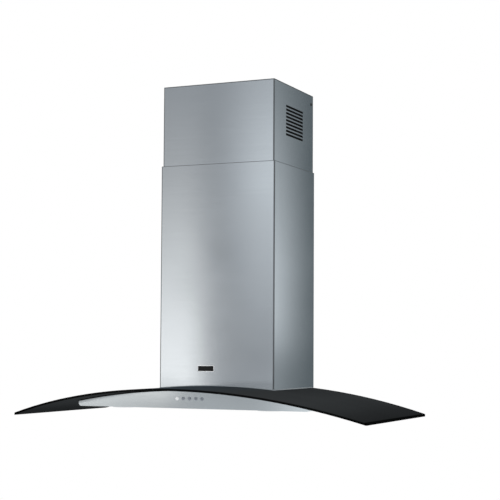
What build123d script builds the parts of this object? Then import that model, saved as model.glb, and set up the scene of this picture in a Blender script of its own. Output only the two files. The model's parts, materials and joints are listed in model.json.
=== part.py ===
from build123d import *
from math import cos, radians, sin, sqrt
import os

# Curved glass chimney hood for a wall, 90 cm wide. Millimetres.
# X runs to the right of someone who faces the hood, Y into the wall, Z up.
# The origin lies on the wall plane, on the centre line, level with the crown of the glass.

# ---------------------------------------------------------------- clearances
SEAT = 0.3  # between faces that sit on each other on separate pieces
RUNNING = 0.05  # radial, shaft or pin in its hole
PRESS = 0.02  # radial, shaft in what turns with it
GUIDE = 0.3  # all round a button or a latch in its opening
FILTER_PLAY = 1.0  # all round a grease filter in its opening

# ---------------------------------------------------------------- sheet and glass
GLASS_THICKNESS = 5.0
SHEET = 1.0
FASCIA_SHEET = 1.2
BOX_SHEET = 1.2
PLATE = 2.0

# ---------------------------------------------------------------- glass canopy
GLASS_WIDTH = 898.0
GLASS_SAG = 67.0  # how far the side edges hang below the crown
GLASS_BACK = 8.0  # from the wall to the back edge
GLASS_SIDE_DEPTH = 448.0  # from the wall to the front corners
GLASS_DEPTH = 500.0  # from the wall to the middle of the bowed front edge
GLASS_CORNER = 5.0
NOTCH_GAP = 4.0  # from the motor box to the edge of the notch in the glass
SCREW_HOLE = 3.2
SCREW_SIDE_INSET = 12.0  # from the side of the notch to a glass screw
SCREW_FRONT_INSET = 14.0  # from the front of the notch to a glass screw
SCREW_ROWS = (0.25, 0.8)  # places of the side screws, as shares of the depth of the motor box

# ---------------------------------------------------------------- body below the glass
BODY_WIDTH = 596.0
BODY_DEPTH = 397.0
BODY_END_HEIGHT = 11.2  # height of the body at its ends
BODY_TOP_CORNER = 2.5
BODY_LOW_CORNER = 7.0
BOX_LEDGE = 3.0  # how far the top skin reaches in under the motor box
BACK_RAIL = 8.0  # from the wall to the opening in the top skin
SEAL_THICKNESS = 3.0
SEAL_WIDTH = 10.0
SEAL_EDGE = 4.0
SEAL_SLACK = 0.2  # between a seal strip and the glass or the body
SEAL_FRONT_INSET = 2.0  # from the back of the fascia to the front strip
SEAL_BACK_INSET = 4.0  # from the back edge of the glass to the back strips
SEAL_NOTCH_INSET = 4.0  # from the edge of the notch to the strip beside it
SEAL_NOTCH_WIDTH = 3.0
BOLT_INSET = 20.0  # from the side of the motor box to an outer bolt of the body
BOLT_END_GAP = 0.2  # from the wall to the end of a bolt
LAMP_BAND = 66.0  # depth of the lamp panel behind the fascia

# ---------------------------------------------------------------- buttons
BUTTON_COUNT = 5
BUTTON_PITCH = 16.0
BUTTON_OFFSET = 2.75  # above the middle of the fascia's height
BUTTON_RADIUS = 4.0
BUTTON_PROUD = 1.5
BUTTON_TRAVEL = 2.5
BUTTON_RIM = 1.2
STEM_RADIUS = 2.0
STEM_LENGTH = 10.0
SWITCH_HEIGHT = 20.0
SWITCH_DEPTH = 14.0
SWITCH_MARGIN = 10.0
SWITCH_TOP_ROOM = 2.0  # taken off the top of the housing, below the skin
SWITCH_FOOT = 4.0

# ---------------------------------------------------------------- lamps
LAMP_INSET = 108.0  # from the end of the body to a lamp's axis
LAMP_RADIUS = 26.0
LAMP_RIM = 4.0
LAMP_DEPTH = 16.0
LENS_THICKNESS = 2.5
LAMP_RECESS = 3.0
LAMP_TUBE = 1.5  # wall of the ring above the panel
LAMP_TUBE_RISE = 3.0  # how far the ring stands up above the panel
LAMP_SHELF = 1.0  # thickness of the lip that the lens lies on
LAMP_LIP_DROP = 1.6  # how far the lip hangs below the panel
LAMP_INNER_BEVEL = 1.0
LAMP_OUTER_BEVEL = 1.4
LAMP_STEP = 5.0  # how much smaller the upper half of the lamp is
RECESS_WALL = 4.0  # wall of the lamp's recess at its roof
RECESS_RIM = 2.0  # wall of the lamp's recess at the lens
LENS_CHAMFER = 0.4

# ---------------------------------------------------------------- grease filters
FILTER_INNER = 11.0  # from the centre line to a filter
FILTER_SIDE = 17.0  # from a filter to the end of the body
FILTER_STRIP = 6.8  # from a filter to the lamp panel
FILTER_BACK = 25.0  # from the wall to a filter
FILTER_HEIGHT = 9.0
FILTER_BORDER = 16.0
FILTER_CORNER = 3.0
FILTER_LIFT = 0.2  # from the underside of the body up to a filter's underside
MESH_THICKNESS = 4.0
MESH_TONGUE = 4.0
MESH_COLUMNS = 6
MESH_ROWS = 7
MESH_STRAND = 4.0
MESH_LIFT = 1.0  # how far the mesh lies above the middle of its frame
MESH_PLAY = 0.1  # all round the mesh in its groove
PIN_RADIUS = 1.5
PIN_INSET = 5.0  # from the back edge of a filter to its hinge pins
PIN_RISE = 4.7  # from the underside of the body to the hinge pins
PIN_LENGTH = 4.2
PIN_ROOT = 1.0  # how far a hinge pin reaches into its frame
CLIP_THICKNESS = 3.2
CLIP_WALL = 2.0  # from the hinge pin to the outside of its eye
LATCH_WIDTH = 24.0
LATCH_LENGTH = 15.0
LATCH_THICKNESS = 2.0
LATCH_TRAVEL = 4.0
LATCH_TAB = 12.0
LATCH_TAB_THICKNESS = 2.5
LATCH_CHAMFER = 2.0
WINDOW_INSET = 2.0  # from the front of a filter to the window for the latch's tab
WINDOW_LENGTH = 12.0
WINDOW_OVERLAP = 0.1  # how far the window reaches up into the latch's slot

# ---------------------------------------------------------------- motor box
BOX_SIDE_ROOM = 32.5  # from the motor box to the outside of the chimney
BOX_FRONT_ROOM = 34.0
COVER_RIBS = 3
COVER_RIB_HEIGHT = 6.0
COVER_RIB_INSET = 30.0
COVER_RIB_RELIEF = 1.0
WALL_HOLE_RADIUS = 4.0
WALL_HOLE_INSET = 20.0  # from the side of the motor box
WALL_HOLE_SPACING_Z = 150.0
WALL_HOLE_MIDDLE = 115.0

# ---------------------------------------------------------------- blower
FAN_RADIUS = 70.0
FAN_INNER = 57.0
FAN_WIDTH = 112.0
BLADES = 24
BLADE_THICKNESS = 1.2
BLADE_BULGE = 2.4
BLADE_INSET = 0.5  # from the edges of the end rings to a blade
RING_HEIGHT = 4.0
TONGUE_GAP = 6.0  # from the wheel to the tongue of the scroll
SPIRAL_GROWTH = 26.0  # how much the scroll's radius grows on its way round
SCROLL_BACK_ROOM = 28.0  # from the wall to the scroll
SCROLL_FOOT_ROOM = 17.75  # from the crown of the glass to the scroll
MOUTH_RISE = 6.0  # from the widest point of the scroll to its mouth
SCROLL_WALL = 2.0
SCROLL_GAP = 6.0
SCROLL_POINTS = 9  # points that the spiral is drawn through
TONGUE_ANGLE = 120.0
INLET_RADIUS = 62.0
SHAFT_RADIUS = 4.0
SHAFT_TAIL = 2.0  # how far the shaft reaches out of the motor
SHAFT_END = 8.0  # how far the shaft reaches out of the wheel's hub
SHAFT_CHAMFER = 0.5
NUT_RADIUS = 7.0
NUT_HEIGHT = 6.0
HUB_RADIUS = 12.0
HUB_LENGTH = 22.0
HUB_DISC = 2.0
INLET_LIP = 2.2
MOTOR_RADIUS = 44.0
MOTOR_GAP = 6.0  # from the motor to the wheel's disc
MOTOR_CHAMFER = 5.0
MOTOR_BEAD = 2.0  # how far the rolled joint stands out, and half its width
MOTOR_BORE_GAP = 1.0  # radial, round the shaft between the bearings
MOTOR_SLOTS = 6
MOTOR_SLOT_WIDTH = 6.0
MOTOR_SLOT_DEPTH = 8.0
MOTOR_SLOT_INNER = 22.0  # from the outside of the motor to the inner end of a slot
MOTOR_SLOT_OUTER = 10.0  # from the outside of the motor to the outer end of a slot
BEARING_RADIUS = 11.0
BEARING_LENGTH = 7.0
ARM_WIDTH = 14.0
ARM_THICKNESS = 2.0
ARM_FOOT = 8.0
ARMS = 3
ARM_HUB_INSET = 14.0  # from the outside of the motor to the edge of the arms' hub
ARM_ROOT_INSET = 20.0  # from the outside of the motor to an arm's root in the hub
ARM_EYE_INSET = 2.0  # how much smaller the hub's hole is than a bearing
ARM_LIP_GAP = 1.0  # from the inlet's lip to an arm's foot

# ---------------------------------------------------------------- outlet
COLLAR_RADIUS = 75.0
COLLAR_WALL = 2.0
COLLAR_LENGTH = 46.0
COLLAR_FLANGE = 3.0
COLLAR_MARGIN = 9.0  # how far the square flange reaches past the collar
COLLAR_CORNER = 8.0
FLAP_LIFT = 18.0  # from the motor box to the flap pin
FLAP_THICKNESS = 1.5
FLAP_GAP = 1.5
FLAP_PIN_RADIUS = 1.5
FLAP_PIN_INSET = 0.3  # from the outside of the collar to an end of the pin
KNUCKLE_RADIUS = 3.0
KNUCKLE_GAP = 1.0  # round and between the knuckles
STOP_WIDTH = 3.0
STOP_HEIGHT = 3.0
STOP_ROOT = 0.5  # how far the stop reaches into the collar's wall

# ---------------------------------------------------------------- electrical parts
CONTROL_DEPTH = 110.0
CONTROL_HEIGHT = 90.0
CONTROL_THICKNESS = 21.0
CONTROL_WALL = 2.0
CONTROL_LIFT = 110.0
CONTROL_BACK = 50.0
CONTROL_CORNER = 4.0
GLAND_RADIUS = 8.0
GLAND_BORE = 4.0
GLAND_LENGTH = 18.0
GLAND_NUT = 6.0  # height of the gland's hexagon
GLAND_STEP = 1.5  # from the hexagon's corners in to the gland's tube
GLAND_SEAT = 2.0  # from the hexagon's corners in to the hole in the box
GLAND_PLAY = 0.1  # radial, round the gland's neck in its hole
CAPACITOR_RADIUS = 11.5
CAPACITOR_LENGTH = 60.0
CAPACITOR_LIFT = 130.0
CAPACITOR_CHAMFER = 1.0
CAPACITOR_BAND = 1.0  # thickness of the clip
CAPACITOR_BAND_HEIGHT = 14.0
CAPACITOR_FOOT = 20.0  # half the length of the clip's foot
CAPACITOR_MOUTH = 5.0  # half the opening of the clip
CAPACITOR_MOUTH_START = 2.0  # from the capacitor's axis to the clip's opening
BOARD_MARGIN = 8.0
BOARD_THICKNESS = 1.6
BOARD_FOOT = 1.4
BOARD_FOOT_WIDTH = 6.0
TRANSFORMER_LENGTH = 28.0
TRANSFORMER_HEIGHT = 24.0
TRANSFORMER_DEPTH = 12.0
RELAY_LENGTH = 18.0
RELAY_HEIGHT = 14.0
RELAY_DEPTH = 9.0
LID_THICKNESS = 1.5

# ---------------------------------------------------------------- chimney covers
CHIMNEY_WIDTH = 305.0
CHIMNEY_DEPTH = 258.0
CHIMNEY_SEAM = 540.0
CHIMNEY_TOP = 738.0
CHIMNEY_STEP = 3.0  # how far the upper cover lies inside the lower one, face to face
CHIMNEY_FLANGE = 16.0
CHIMNEY_BEND = 2.0  # outside radius of a fold in a cover
CHIMNEY_FOOT = 20.0  # below the crown of the glass, where the cover is cut from
UPPER_LENGTH = 438.0
VENT_COUNT = 9
VENT_PITCH = 8.7
VENT_HEIGHT = 4.5
VENT_LENGTH = 108.0
VENT_BACK = 127.0  # from the wall to the middle of a vent
VENT_DROP = 89.0  # from the top of the chimney to the middle vent
GUIDE_LENGTH = 90.0
GUIDE_HEIGHT = 24.0
GUIDE_DROP = 12.0
TAB_LIFT = 60.0
TAB_HEIGHT = 30.0
TAB_REACH = 22.0
TAB_BACK = 10.0
BADGE_X = -26.5
BADGE_HEIGHT = 42.0
BADGE_WIDTH = 41.0
BADGE_RISE = 12.0
BADGE_THICKNESS = 0.8
BADGE_CORNER = 0.8
BRACKET_HEIGHT = 30.0
BRACKET_DROP = 8.0
BRACKET_EAR = 26.0
BRACKET_PAD = 26.0
BRACKET_HOLE_SPACING = 180.0
BRACKET_HOLE_RADIUS = 3.0

# ---------------------------------------------------------------- screws
SCREW_RADIUS = 2.5
SCREW_HEAD = 5.0
SCREW_HEAD_HEIGHT = 2.5
WASHER_RADIUS = 7.0
WASHER_THICKNESS = 1.5
SCREW_PLAY = 0.1  # radial, round a screw of the chimney
EAR_SCREW_LENGTH = 8.0
EAR_HEAD_RADIUS = 4.0
EAR_HEAD_HEIGHT = 1.2
EAR_HEAD_CHAMFER = 0.4
GLASS_SCREW_REACH = 6.0  # how far a glass screw reaches below the top skin

# ---------------------------------------------------------------- derived places
ARCH_RADIUS = ((GLASS_WIDTH / 2) ** 2 + GLASS_SAG**2) / (2 * GLASS_SAG)
SKIN_OFFSET = GLASS_THICKNESS + SEAL_THICKNESS
HALF_BODY = BODY_WIDTH / 2
BODY_SHOULDER = sqrt((ARCH_RADIUS - SKIN_OFFSET) ** 2 - HALF_BODY**2) - ARCH_RADIUS
BODY_BOTTOM = BODY_SHOULDER - BODY_END_HEIGHT
HALF_BOX = CHIMNEY_WIDTH / 2 - BOX_SIDE_ROOM
BOX_DEPTH = CHIMNEY_DEPTH - BOX_FRONT_ROOM
WALL_HOLE_X = HALF_BOX - WALL_HOLE_INSET
BUTTON_HEIGHT = (BODY_BOTTOM - SKIN_OFFSET) / 2 + BUTTON_OFFSET
LAMP_X = HALF_BODY - LAMP_INSET
BODY_FRONT = -BODY_DEPTH
BODY_INNER_FRONT = BODY_FRONT + FASCIA_SHEET
REAR_PANEL_BACK = -PLATE
BODY_INNER_BACK = REAR_PANEL_BACK - BOX_SHEET
BODY_SPLIT = BODY_BOTTOM + BODY_LOW_CORNER
PAN_TOP = BODY_BOTTOM + SHEET
BAND_BACK = BODY_INNER_FRONT + LAMP_BAND
NOTCH_HALF = HALF_BOX + NOTCH_GAP
NOTCH_FRONT = -BOX_DEPTH - NOTCH_GAP
FILTER_FRONT = BAND_BACK + FILTER_STRIP
FILTER_LENGTH = -FILTER_BACK - FILTER_FRONT
FILTER_WIDTH = HALF_BODY - FILTER_SIDE - FILTER_INNER
FILTER_BOTTOM = BODY_BOTTOM + FILTER_LIFT
FILTER_TOP = FILTER_BOTTOM + FILTER_HEIGHT
PIN_Y = -FILTER_BACK - PIN_INSET
PIN_Z = BODY_BOTTOM + PIN_RISE
SCROLL_START = FAN_RADIUS + TONGUE_GAP
SCROLL_END = SCROLL_START + SPIRAL_GROWTH
SCROLL_LOWEST = SCROLL_START + SPIRAL_GROWTH * (270 - TONGUE_ANGLE) / (360 - TONGUE_ANGLE)
FAN_Y = -SCROLL_BACK_ROOM - SCROLL_WALL - SCROLL_END
FAN_LIFT = SCROLL_FOOT_ROOM + SCROLL_WALL + SCROLL_LOWEST
BOX_TOP = FAN_LIFT + SCROLL_END + MOUTH_RISE + BOX_SHEET
SCROLL_HALF = FAN_WIDTH / 2 + SCROLL_GAP
COLLAR_Y = FAN_Y + (SCROLL_END + SCROLL_START * cos(radians(TONGUE_ANGLE))) / 2
COLLAR_FLANGE_HALF = COLLAR_RADIUS + COLLAR_MARGIN
FLAP_Z = BOX_TOP + FLAP_LIFT
VENT_MIDDLE = CHIMNEY_TOP - VENT_DROP
UPPER_WIDTH = CHIMNEY_WIDTH - 2 * CHIMNEY_STEP
UPPER_FRONT = -CHIMNEY_DEPTH + CHIMNEY_STEP
UPPER_BACK = -SHEET - SEAT
UPPER_BOTTOM = CHIMNEY_TOP - UPPER_LENGTH


# ================================================================ helpers
def block(x0, x1, y0, y1, z0, z1):
    """A box between two values on each axis."""
    return Pos((x0 + x1) / 2, (y0 + y1) / 2, (z0 + z1) / 2) * Box(x1 - x0, y1 - y0, z1 - z0)


def rod_x(radius, x0, x1, y, z):
    """A round bar along X."""
    return Pos((x0 + x1) / 2, y, z) * Rot(0, 90, 0) * Cylinder(radius, x1 - x0)


def rod_y(radius, y0, y1, x, z):
    """A round bar along Y."""
    return Pos(x, (y0 + y1) / 2, z) * Rot(90, 0, 0) * Cylinder(radius, y1 - y0)


def rod_z(radius, z0, z1, x, y):
    """A round bar along Z."""
    return Pos(x, y, (z0 + z1) / 2) * Cylinder(radius, z1 - z0)


def along_y(outline, y0, y1):
    """Carry an outline drawn in X and Z from y0 to y1."""
    return Pos(0, y1, 0) * extrude(Plane.XZ * outline, amount=y1 - y0)


def along_x(outline, x0, x1):
    """Carry an outline drawn in Y and Z from x0 to x1."""
    return Pos(x0, 0, 0) * extrude(Plane.YZ * outline, amount=x1 - x0)


def along_z(outline, z0, z1):
    """Carry an outline drawn in X and Y from z0 to z1."""
    return Pos(0, 0, z0) * extrude(outline, amount=z1 - z0)


def mirrored(piece):
    """The same piece on the other side of the centre line."""
    return mirror(piece, about=Plane.YZ)


def arch_z(x, below):
    """Height of the arch that lies a distance below the top of the glass."""
    return sqrt((ARCH_RADIUS - below) ** 2 - x**2) - ARCH_RADIUS


def arch_band(half_width, above, below):
    """Outline in X and Z between two arches, cut off square at both sides."""
    top_left = (-half_width, arch_z(half_width, above))
    top_right = (half_width, arch_z(half_width, above))
    low_left = (-half_width, arch_z(half_width, below))
    low_right = (half_width, arch_z(half_width, below))
    edges = ThreePointArc(top_left, (0, arch_z(0, above)), top_right)
    edges += Line(top_right, low_right)
    edges += ThreePointArc(low_right, (0, arch_z(0, below)), low_left)
    edges += Line(low_left, top_left)
    return make_face(edges)


def above_arch(half_width, below, top):
    """Outline in X and Z between an arch and a level line above it."""
    left = (-half_width, arch_z(half_width, below))
    right = (half_width, arch_z(half_width, below))
    edges = ThreePointArc(left, (0, arch_z(0, below)), right)
    edges += Polyline(right, (half_width, top), (-half_width, top), left)
    return make_face(edges)


def body_outline(inset):
    """The body's outline in X and Z: an arch on a level underside, drawn in by inset."""
    half = HALF_BODY - inset
    bottom = BODY_BOTTOM + inset
    shoulder = arch_z(half, SKIN_OFFSET + inset)
    edges = ThreePointArc((-half, shoulder), (0, arch_z(0, SKIN_OFFSET + inset)), (half, shoulder))
    edges += Polyline((half, shoulder), (half, bottom), (-half, bottom), (-half, shoulder))
    face = make_face(edges)
    middle = (shoulder + bottom) / 2
    lower = [v for v in face.vertices() if v.Y < middle]
    face = fillet(lower, BODY_LOW_CORNER - inset)
    upper = [v for v in face.vertices() if abs(abs(v.X) - half) < 1e-6 and v.Y > shoulder - 1e-3]
    return fillet(upper, BODY_TOP_CORNER - inset)


def save(name, *solids):
    """Write one sub-part, which may be a group of separate solids."""
    group = []
    for item in solids:
        group += item.solids()
    shape = group[0] if len(group) == 1 else Compound(children=group)
    export_step(shape, "parts/" + name + ".step")


# ================================================================ canopy
def screw_places():
    """Where the glass is screwed down, inside the foot of the chimney."""
    side = NOTCH_HALF + SCREW_SIDE_INSET
    places = [(side, -BOX_DEPTH * share) for share in SCREW_ROWS]
    places.append((HALF_BOX / 2, NOTCH_FRONT - SCREW_FRONT_INSET))
    return places + [(-x, y) for x, y in places]


def glass_canopy():
    """Arched glass with a bowed front edge, a notch for the motor box and screw holes."""
    half = GLASS_WIDTH / 2
    edges = ThreePointArc((half, -GLASS_SIDE_DEPTH), (0, -GLASS_DEPTH), (-half, -GLASS_SIDE_DEPTH))
    edges += Polyline(
        (-half, -GLASS_SIDE_DEPTH), (-half, -GLASS_BACK), (half, -GLASS_BACK), (half, -GLASS_SIDE_DEPTH)
    )
    plan = make_face(edges)
    plan = fillet(plan.vertices(), GLASS_CORNER)
    blank = arch_band(half + GLASS_CORNER, 0, GLASS_THICKNESS)
    sheet = along_y(blank, -GLASS_DEPTH - 1, -GLASS_BACK + 1)
    sheet &= along_z(plan, -GLASS_SAG - 2 * GLASS_THICKNESS, 1)
    sheet -= block(-NOTCH_HALF, NOTCH_HALF, NOTCH_FRONT, 1, -GLASS_SAG, 1)
    for x, y in screw_places():
        sheet -= rod_z(SCREW_HOLE, -GLASS_SAG, 1, x, y)
    return sheet


def glass_seal():
    """Strips of black foam between the glass and the body, one along each edge."""
    band = arch_band(HALF_BODY - SEAL_EDGE, GLASS_THICKNESS + SEAL_SLACK, SKIN_OFFSET - SEAL_SLACK)
    front = BODY_INNER_FRONT + SEAL_FRONT_INSET
    back = -GLASS_BACK - SEAL_BACK_INSET
    inner = HALF_BODY - SEAL_EDGE - SEAL_WIDTH
    whole = along_y(band, front, back)
    strips = whole & block(-HALF_BODY, HALF_BODY, front, front + SEAL_WIDTH, -GLASS_SAG, 0)
    side_box = block(inner, HALF_BODY, front + SEAL_WIDTH, back - SEAL_WIDTH, -GLASS_SAG, 0)
    edge = NOTCH_HALF + SEAL_NOTCH_INSET
    back_box = block(edge, HALF_BODY, back - SEAL_WIDTH, back, -GLASS_SAG, 0)
    notch_box = block(edge, edge + SEAL_NOTCH_WIDTH, NOTCH_FRONT, back - SEAL_WIDTH, -GLASS_SAG, 0)
    pieces = [strips]
    for cutter in (side_box, back_box, notch_box):
        pieces += [whole & cutter, whole & mirrored(cutter)]
    return pieces


# ================================================================ body
def front_fascia():
    """Flat stainless strip that closes the front of the body, with the button holes."""
    strip = along_y(body_outline(0), BODY_FRONT, BODY_INNER_FRONT)
    for x in button_places():
        strip -= rod_y(BUTTON_RADIUS + GUIDE, BODY_FRONT - 1, BODY_INNER_FRONT + 1, x, BUTTON_HEIGHT)
    return strip


def body_tube():
    """The thin wall of the body, open at the front and back."""
    ring = body_outline(0) - body_outline(SHEET)
    return along_y(ring, BODY_INNER_FRONT, BODY_INNER_BACK)


def body_top():
    """Arched top skin with folded ends: four sheets, edge to edge round the opening to the fan."""
    skin = body_tube() & block(-HALF_BODY, HALF_BODY, BODY_FRONT, 0, BODY_SPLIT, 0)
    for x, y in screw_places():
        skin -= rod_z(SCREW_HOLE, BODY_BOTTOM, 1, x, y)
    edge = HALF_BOX - BOX_LEDGE
    front = -BOX_DEPTH + BOX_LEDGE
    front_sheet = skin & block(-HALF_BODY, HALF_BODY, BODY_FRONT, front, BODY_SPLIT, 0)
    wing = skin & block(edge, HALF_BODY, front, 0, BODY_SPLIT, 0)
    rail = skin & block(-edge, edge, -BACK_RAIL, 0, BODY_SPLIT, 0)
    return [front_sheet, wing, mirrored(wing), rail]


def rear_panel():
    """Flat panel that closes the back of the body, with its bolt holes."""
    panel = along_y(body_outline(0), BODY_INNER_BACK, REAR_PANEL_BACK)
    for x, z in body_bolt_places():
        panel -= rod_y(SCREW_HOLE, BODY_INNER_BACK - 1, REAR_PANEL_BACK + 1, x, z)
    return panel


def pan(y0, y1):
    """A stretch of the level underside with its rounded ends."""
    return body_tube() & block(-HALF_BODY, HALF_BODY, y0, y1, BODY_BOTTOM, BODY_SPLIT)


def lamp_panel():
    """Front stretch of the underside, with the two lamp holes."""
    panel = pan(BODY_INNER_FRONT, BAND_BACK)
    for x in (-LAMP_X, LAMP_X):
        panel -= rod_z(LAMP_RADIUS + SEAT, BODY_BOTTOM - 1, PAN_TOP + 1, x, lamp_y())
    return panel


def filter_carrier():
    """Rear stretch of the underside, with an opening for each grease filter."""
    frame = pan(BAND_BACK, BODY_INNER_BACK)
    opening = block(
        FILTER_INNER - FILTER_PLAY,
        FILTER_INNER + FILTER_WIDTH + FILTER_PLAY,
        FILTER_FRONT - FILTER_PLAY,
        -FILTER_BACK + FILTER_PLAY,
        BODY_BOTTOM - 1,
        PAN_TOP + 1,
    )
    return frame - opening - mirrored(opening)


def body_bolt_places():
    """Where the body is bolted to the foot of the wall plate."""
    height = (BODY_BOTTOM + arch_z(0, SKIN_OFFSET)) / 2
    return [(-HALF_BOX + BOLT_INSET, height), (0, height), (HALF_BOX - BOLT_INSET, height)]


# ================================================================ buttons
def button_places():
    """X of each push button, on one pitch about the centre line."""
    first = -BUTTON_PITCH * (BUTTON_COUNT - 1) / 2
    return [first + BUTTON_PITCH * i for i in range(BUTTON_COUNT)]


def rim_back():
    """Y of the back of the rim that keeps a button behind the fascia."""
    return BODY_INNER_FRONT + SEAT + BUTTON_RIM


def push_button(x):
    """Round cap with a softened face, a square rim behind the fascia and a stem."""
    front = BODY_FRONT - BUTTON_PROUD
    rim_front = BODY_INNER_FRONT + SEAT
    cap = rod_y(BUTTON_RADIUS, front, rim_front, x, BUTTON_HEIGHT)
    cap = chamfer(cap.edges().sort_by(Axis.Y)[0], BUTTON_PROUD / 3)
    rim = BUTTON_RADIUS + BUTTON_RIM
    cap += block(x - rim, x + rim, rim_front, rim_back(), BUTTON_HEIGHT - rim, BUTTON_HEIGHT + rim)
    return cap + rod_y(STEM_RADIUS, rim_back(), rim_back() + STEM_LENGTH, x, BUTTON_HEIGHT)


def switch_block():
    """Housing of the push switches, on two feet behind the fascia."""
    half = BUTTON_PITCH * (BUTTON_COUNT - 1) / 2 + SWITCH_MARGIN
    front = rim_back() + BUTTON_TRAVEL + SEAT
    low = BUTTON_HEIGHT - SWITCH_HEIGHT / 2
    high = BUTTON_HEIGHT + SWITCH_HEIGHT / 2 - SWITCH_TOP_ROOM
    body = block(-half, half, front, front + SWITCH_DEPTH, low, high)
    for side in (-1, 1):
        outer = side * half
        inner = side * (half - SWITCH_FOOT)
        body += block(min(inner, outer), max(inner, outer), BODY_INNER_FRONT, front, low, high)
    depth = rim_back() + STEM_LENGTH + BUTTON_TRAVEL + SEAT
    for x in button_places():
        body -= rod_y(STEM_RADIUS + RUNNING, front - 1, depth, x, BUTTON_HEIGHT)
    return body


# ================================================================ lamps
def lamp_y():
    """Y of the lamps, in the middle of the lamp panel."""
    return BODY_INNER_FRONT + LAMP_BAND / 2


def lamp_ring(x):
    """Bright trim ring with a bevelled lip below the panel."""
    inner = LAMP_RADIUS - LAMP_RIM
    profile = Polyline(
        (inner, BODY_BOTTOM),
        (inner + LAMP_INNER_BEVEL, BODY_BOTTOM - LAMP_LIP_DROP),
        (LAMP_RADIUS + LAMP_RIM - LAMP_OUTER_BEVEL, BODY_BOTTOM - LAMP_LIP_DROP),
        (LAMP_RADIUS + LAMP_RIM, BODY_BOTTOM),
        (LAMP_RADIUS, BODY_BOTTOM),
        (LAMP_RADIUS, PAN_TOP + LAMP_TUBE_RISE),
        (LAMP_RADIUS - LAMP_TUBE, PAN_TOP + LAMP_TUBE_RISE),
        (LAMP_RADIUS - LAMP_TUBE, BODY_BOTTOM + LAMP_SHELF),
        (inner, BODY_BOTTOM + LAMP_SHELF),
        (inner, BODY_BOTTOM),
    )
    ring = revolve(Plane.XZ * make_face(profile), axis=Axis.Z)
    return Pos(x, lamp_y(), 0) * ring


def lamp_lens(x):
    """Frosted glass disc that lies on the lip of the ring."""
    radius = LAMP_RADIUS - LAMP_TUBE - SEAT
    low = BODY_BOTTOM + LAMP_SHELF
    disc = rod_z(radius, low, low + LENS_THICKNESS, x, lamp_y())
    return chamfer(disc.edges().sort_by(Axis.Z)[-1], LENS_CHAMFER)


def lamp_body(x):
    """Flat round lamp housing with a stepped back, above the lens."""
    low = BODY_BOTTOM + LAMP_SHELF + LENS_THICKNESS
    radius = LAMP_RADIUS - LAMP_TUBE - SEAT
    high = low + LAMP_DEPTH
    profile = Polyline(
        (0, low + LAMP_RECESS),
        (radius - RECESS_WALL, low + LAMP_RECESS),
        (radius - RECESS_RIM, low),
        (radius, low),
        (radius, low + LAMP_DEPTH / 2),
        (radius - LAMP_STEP, low + LAMP_DEPTH / 2),
        (radius - LAMP_STEP, high),
        (0, high),
        (0, low + LAMP_RECESS),
    )
    body = revolve(Plane.XZ * make_face(profile), axis=Axis.Z)
    return Pos(x, lamp_y(), 0) * body


# ================================================================ grease filters
def filter_middle():
    """X of the middle of the right filter."""
    return FILTER_INNER + FILTER_WIDTH / 2


def filter_frame():
    """Channel frame of the right filter, with hinge pins and the latch's slot."""
    left = FILTER_INNER
    right = FILTER_INNER + FILTER_WIDTH
    back = -FILTER_BACK
    frame = block(left, right, FILTER_FRONT, back, FILTER_BOTTOM, FILTER_TOP)
    frame = fillet(frame.edges().filter_by(Axis.Z), FILTER_CORNER)
    frame -= block(
        left + FILTER_BORDER,
        right - FILTER_BORDER,
        FILTER_FRONT + FILTER_BORDER,
        back - FILTER_BORDER,
        FILTER_BOTTOM - 1,
        FILTER_TOP + 1,
    )
    frame -= mesh_blank(0)
    middle = filter_middle()
    slot_low = PAN_TOP
    slot_high = slot_low + LATCH_THICKNESS + 2 * GUIDE
    half = LATCH_WIDTH / 2 + GUIDE
    slot_back = FILTER_FRONT + FILTER_BORDER + 1
    frame -= block(middle - half, middle + half, FILTER_FRONT - 1, slot_back, slot_low, slot_high)
    tab = LATCH_TAB / 2 + GUIDE
    window = FILTER_FRONT + WINDOW_INSET
    window_top = slot_low + WINDOW_OVERLAP
    window_back = window + WINDOW_LENGTH
    frame -= block(middle - tab, middle + tab, window, window_back, FILTER_BOTTOM - 1, window_top)
    frame += rod_x(PIN_RADIUS, left - PIN_LENGTH, left + PIN_ROOT, PIN_Y, PIN_Z)
    frame += rod_x(PIN_RADIUS, right - PIN_ROOT, right + PIN_LENGTH, PIN_Y, PIN_Z)
    return frame


def mesh_blank(inset):
    """The space of the mesh, whose edge lies in the groove of the frame."""
    edge = FILTER_BORDER - MESH_TONGUE + inset
    middle = (FILTER_BOTTOM + FILTER_TOP) / 2 + MESH_LIFT
    return block(
        FILTER_INNER + edge,
        FILTER_INNER + FILTER_WIDTH - edge,
        FILTER_FRONT + edge,
        -FILTER_BACK - edge,
        middle - MESH_THICKNESS / 2 + inset,
        middle + MESH_THICKNESS / 2 - inset,
    )


def filter_mesh():
    """Expanded aluminium mesh of the right filter, with staggered diamond gaps."""
    sheet = mesh_blank(MESH_PLAY)
    width = (FILTER_WIDTH - 2 * FILTER_BORDER) / MESH_COLUMNS
    length = (FILTER_LENGTH - 2 * FILTER_BORDER) / MESH_ROWS
    half_x = width / 2 - MESH_STRAND / 2
    half_y = length / 2 - MESH_STRAND / 2
    diamond = make_face(Polyline((half_x, 0), (0, half_y), (-half_x, 0), (0, -half_y), (half_x, 0)))
    start_x = FILTER_INNER + FILTER_BORDER + width / 2
    start_y = FILTER_FRONT + FILTER_BORDER + length / 2
    places = []
    for row in range(MESH_ROWS):
        for column in range(MESH_COLUMNS):
            places.append(Pos(start_x + column * width, start_y + row * length))
    gaps = Sketch() + [place * diamond for place in places]
    return sheet - along_z(gaps, FILTER_BOTTOM - 1, FILTER_TOP + 1)


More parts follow.
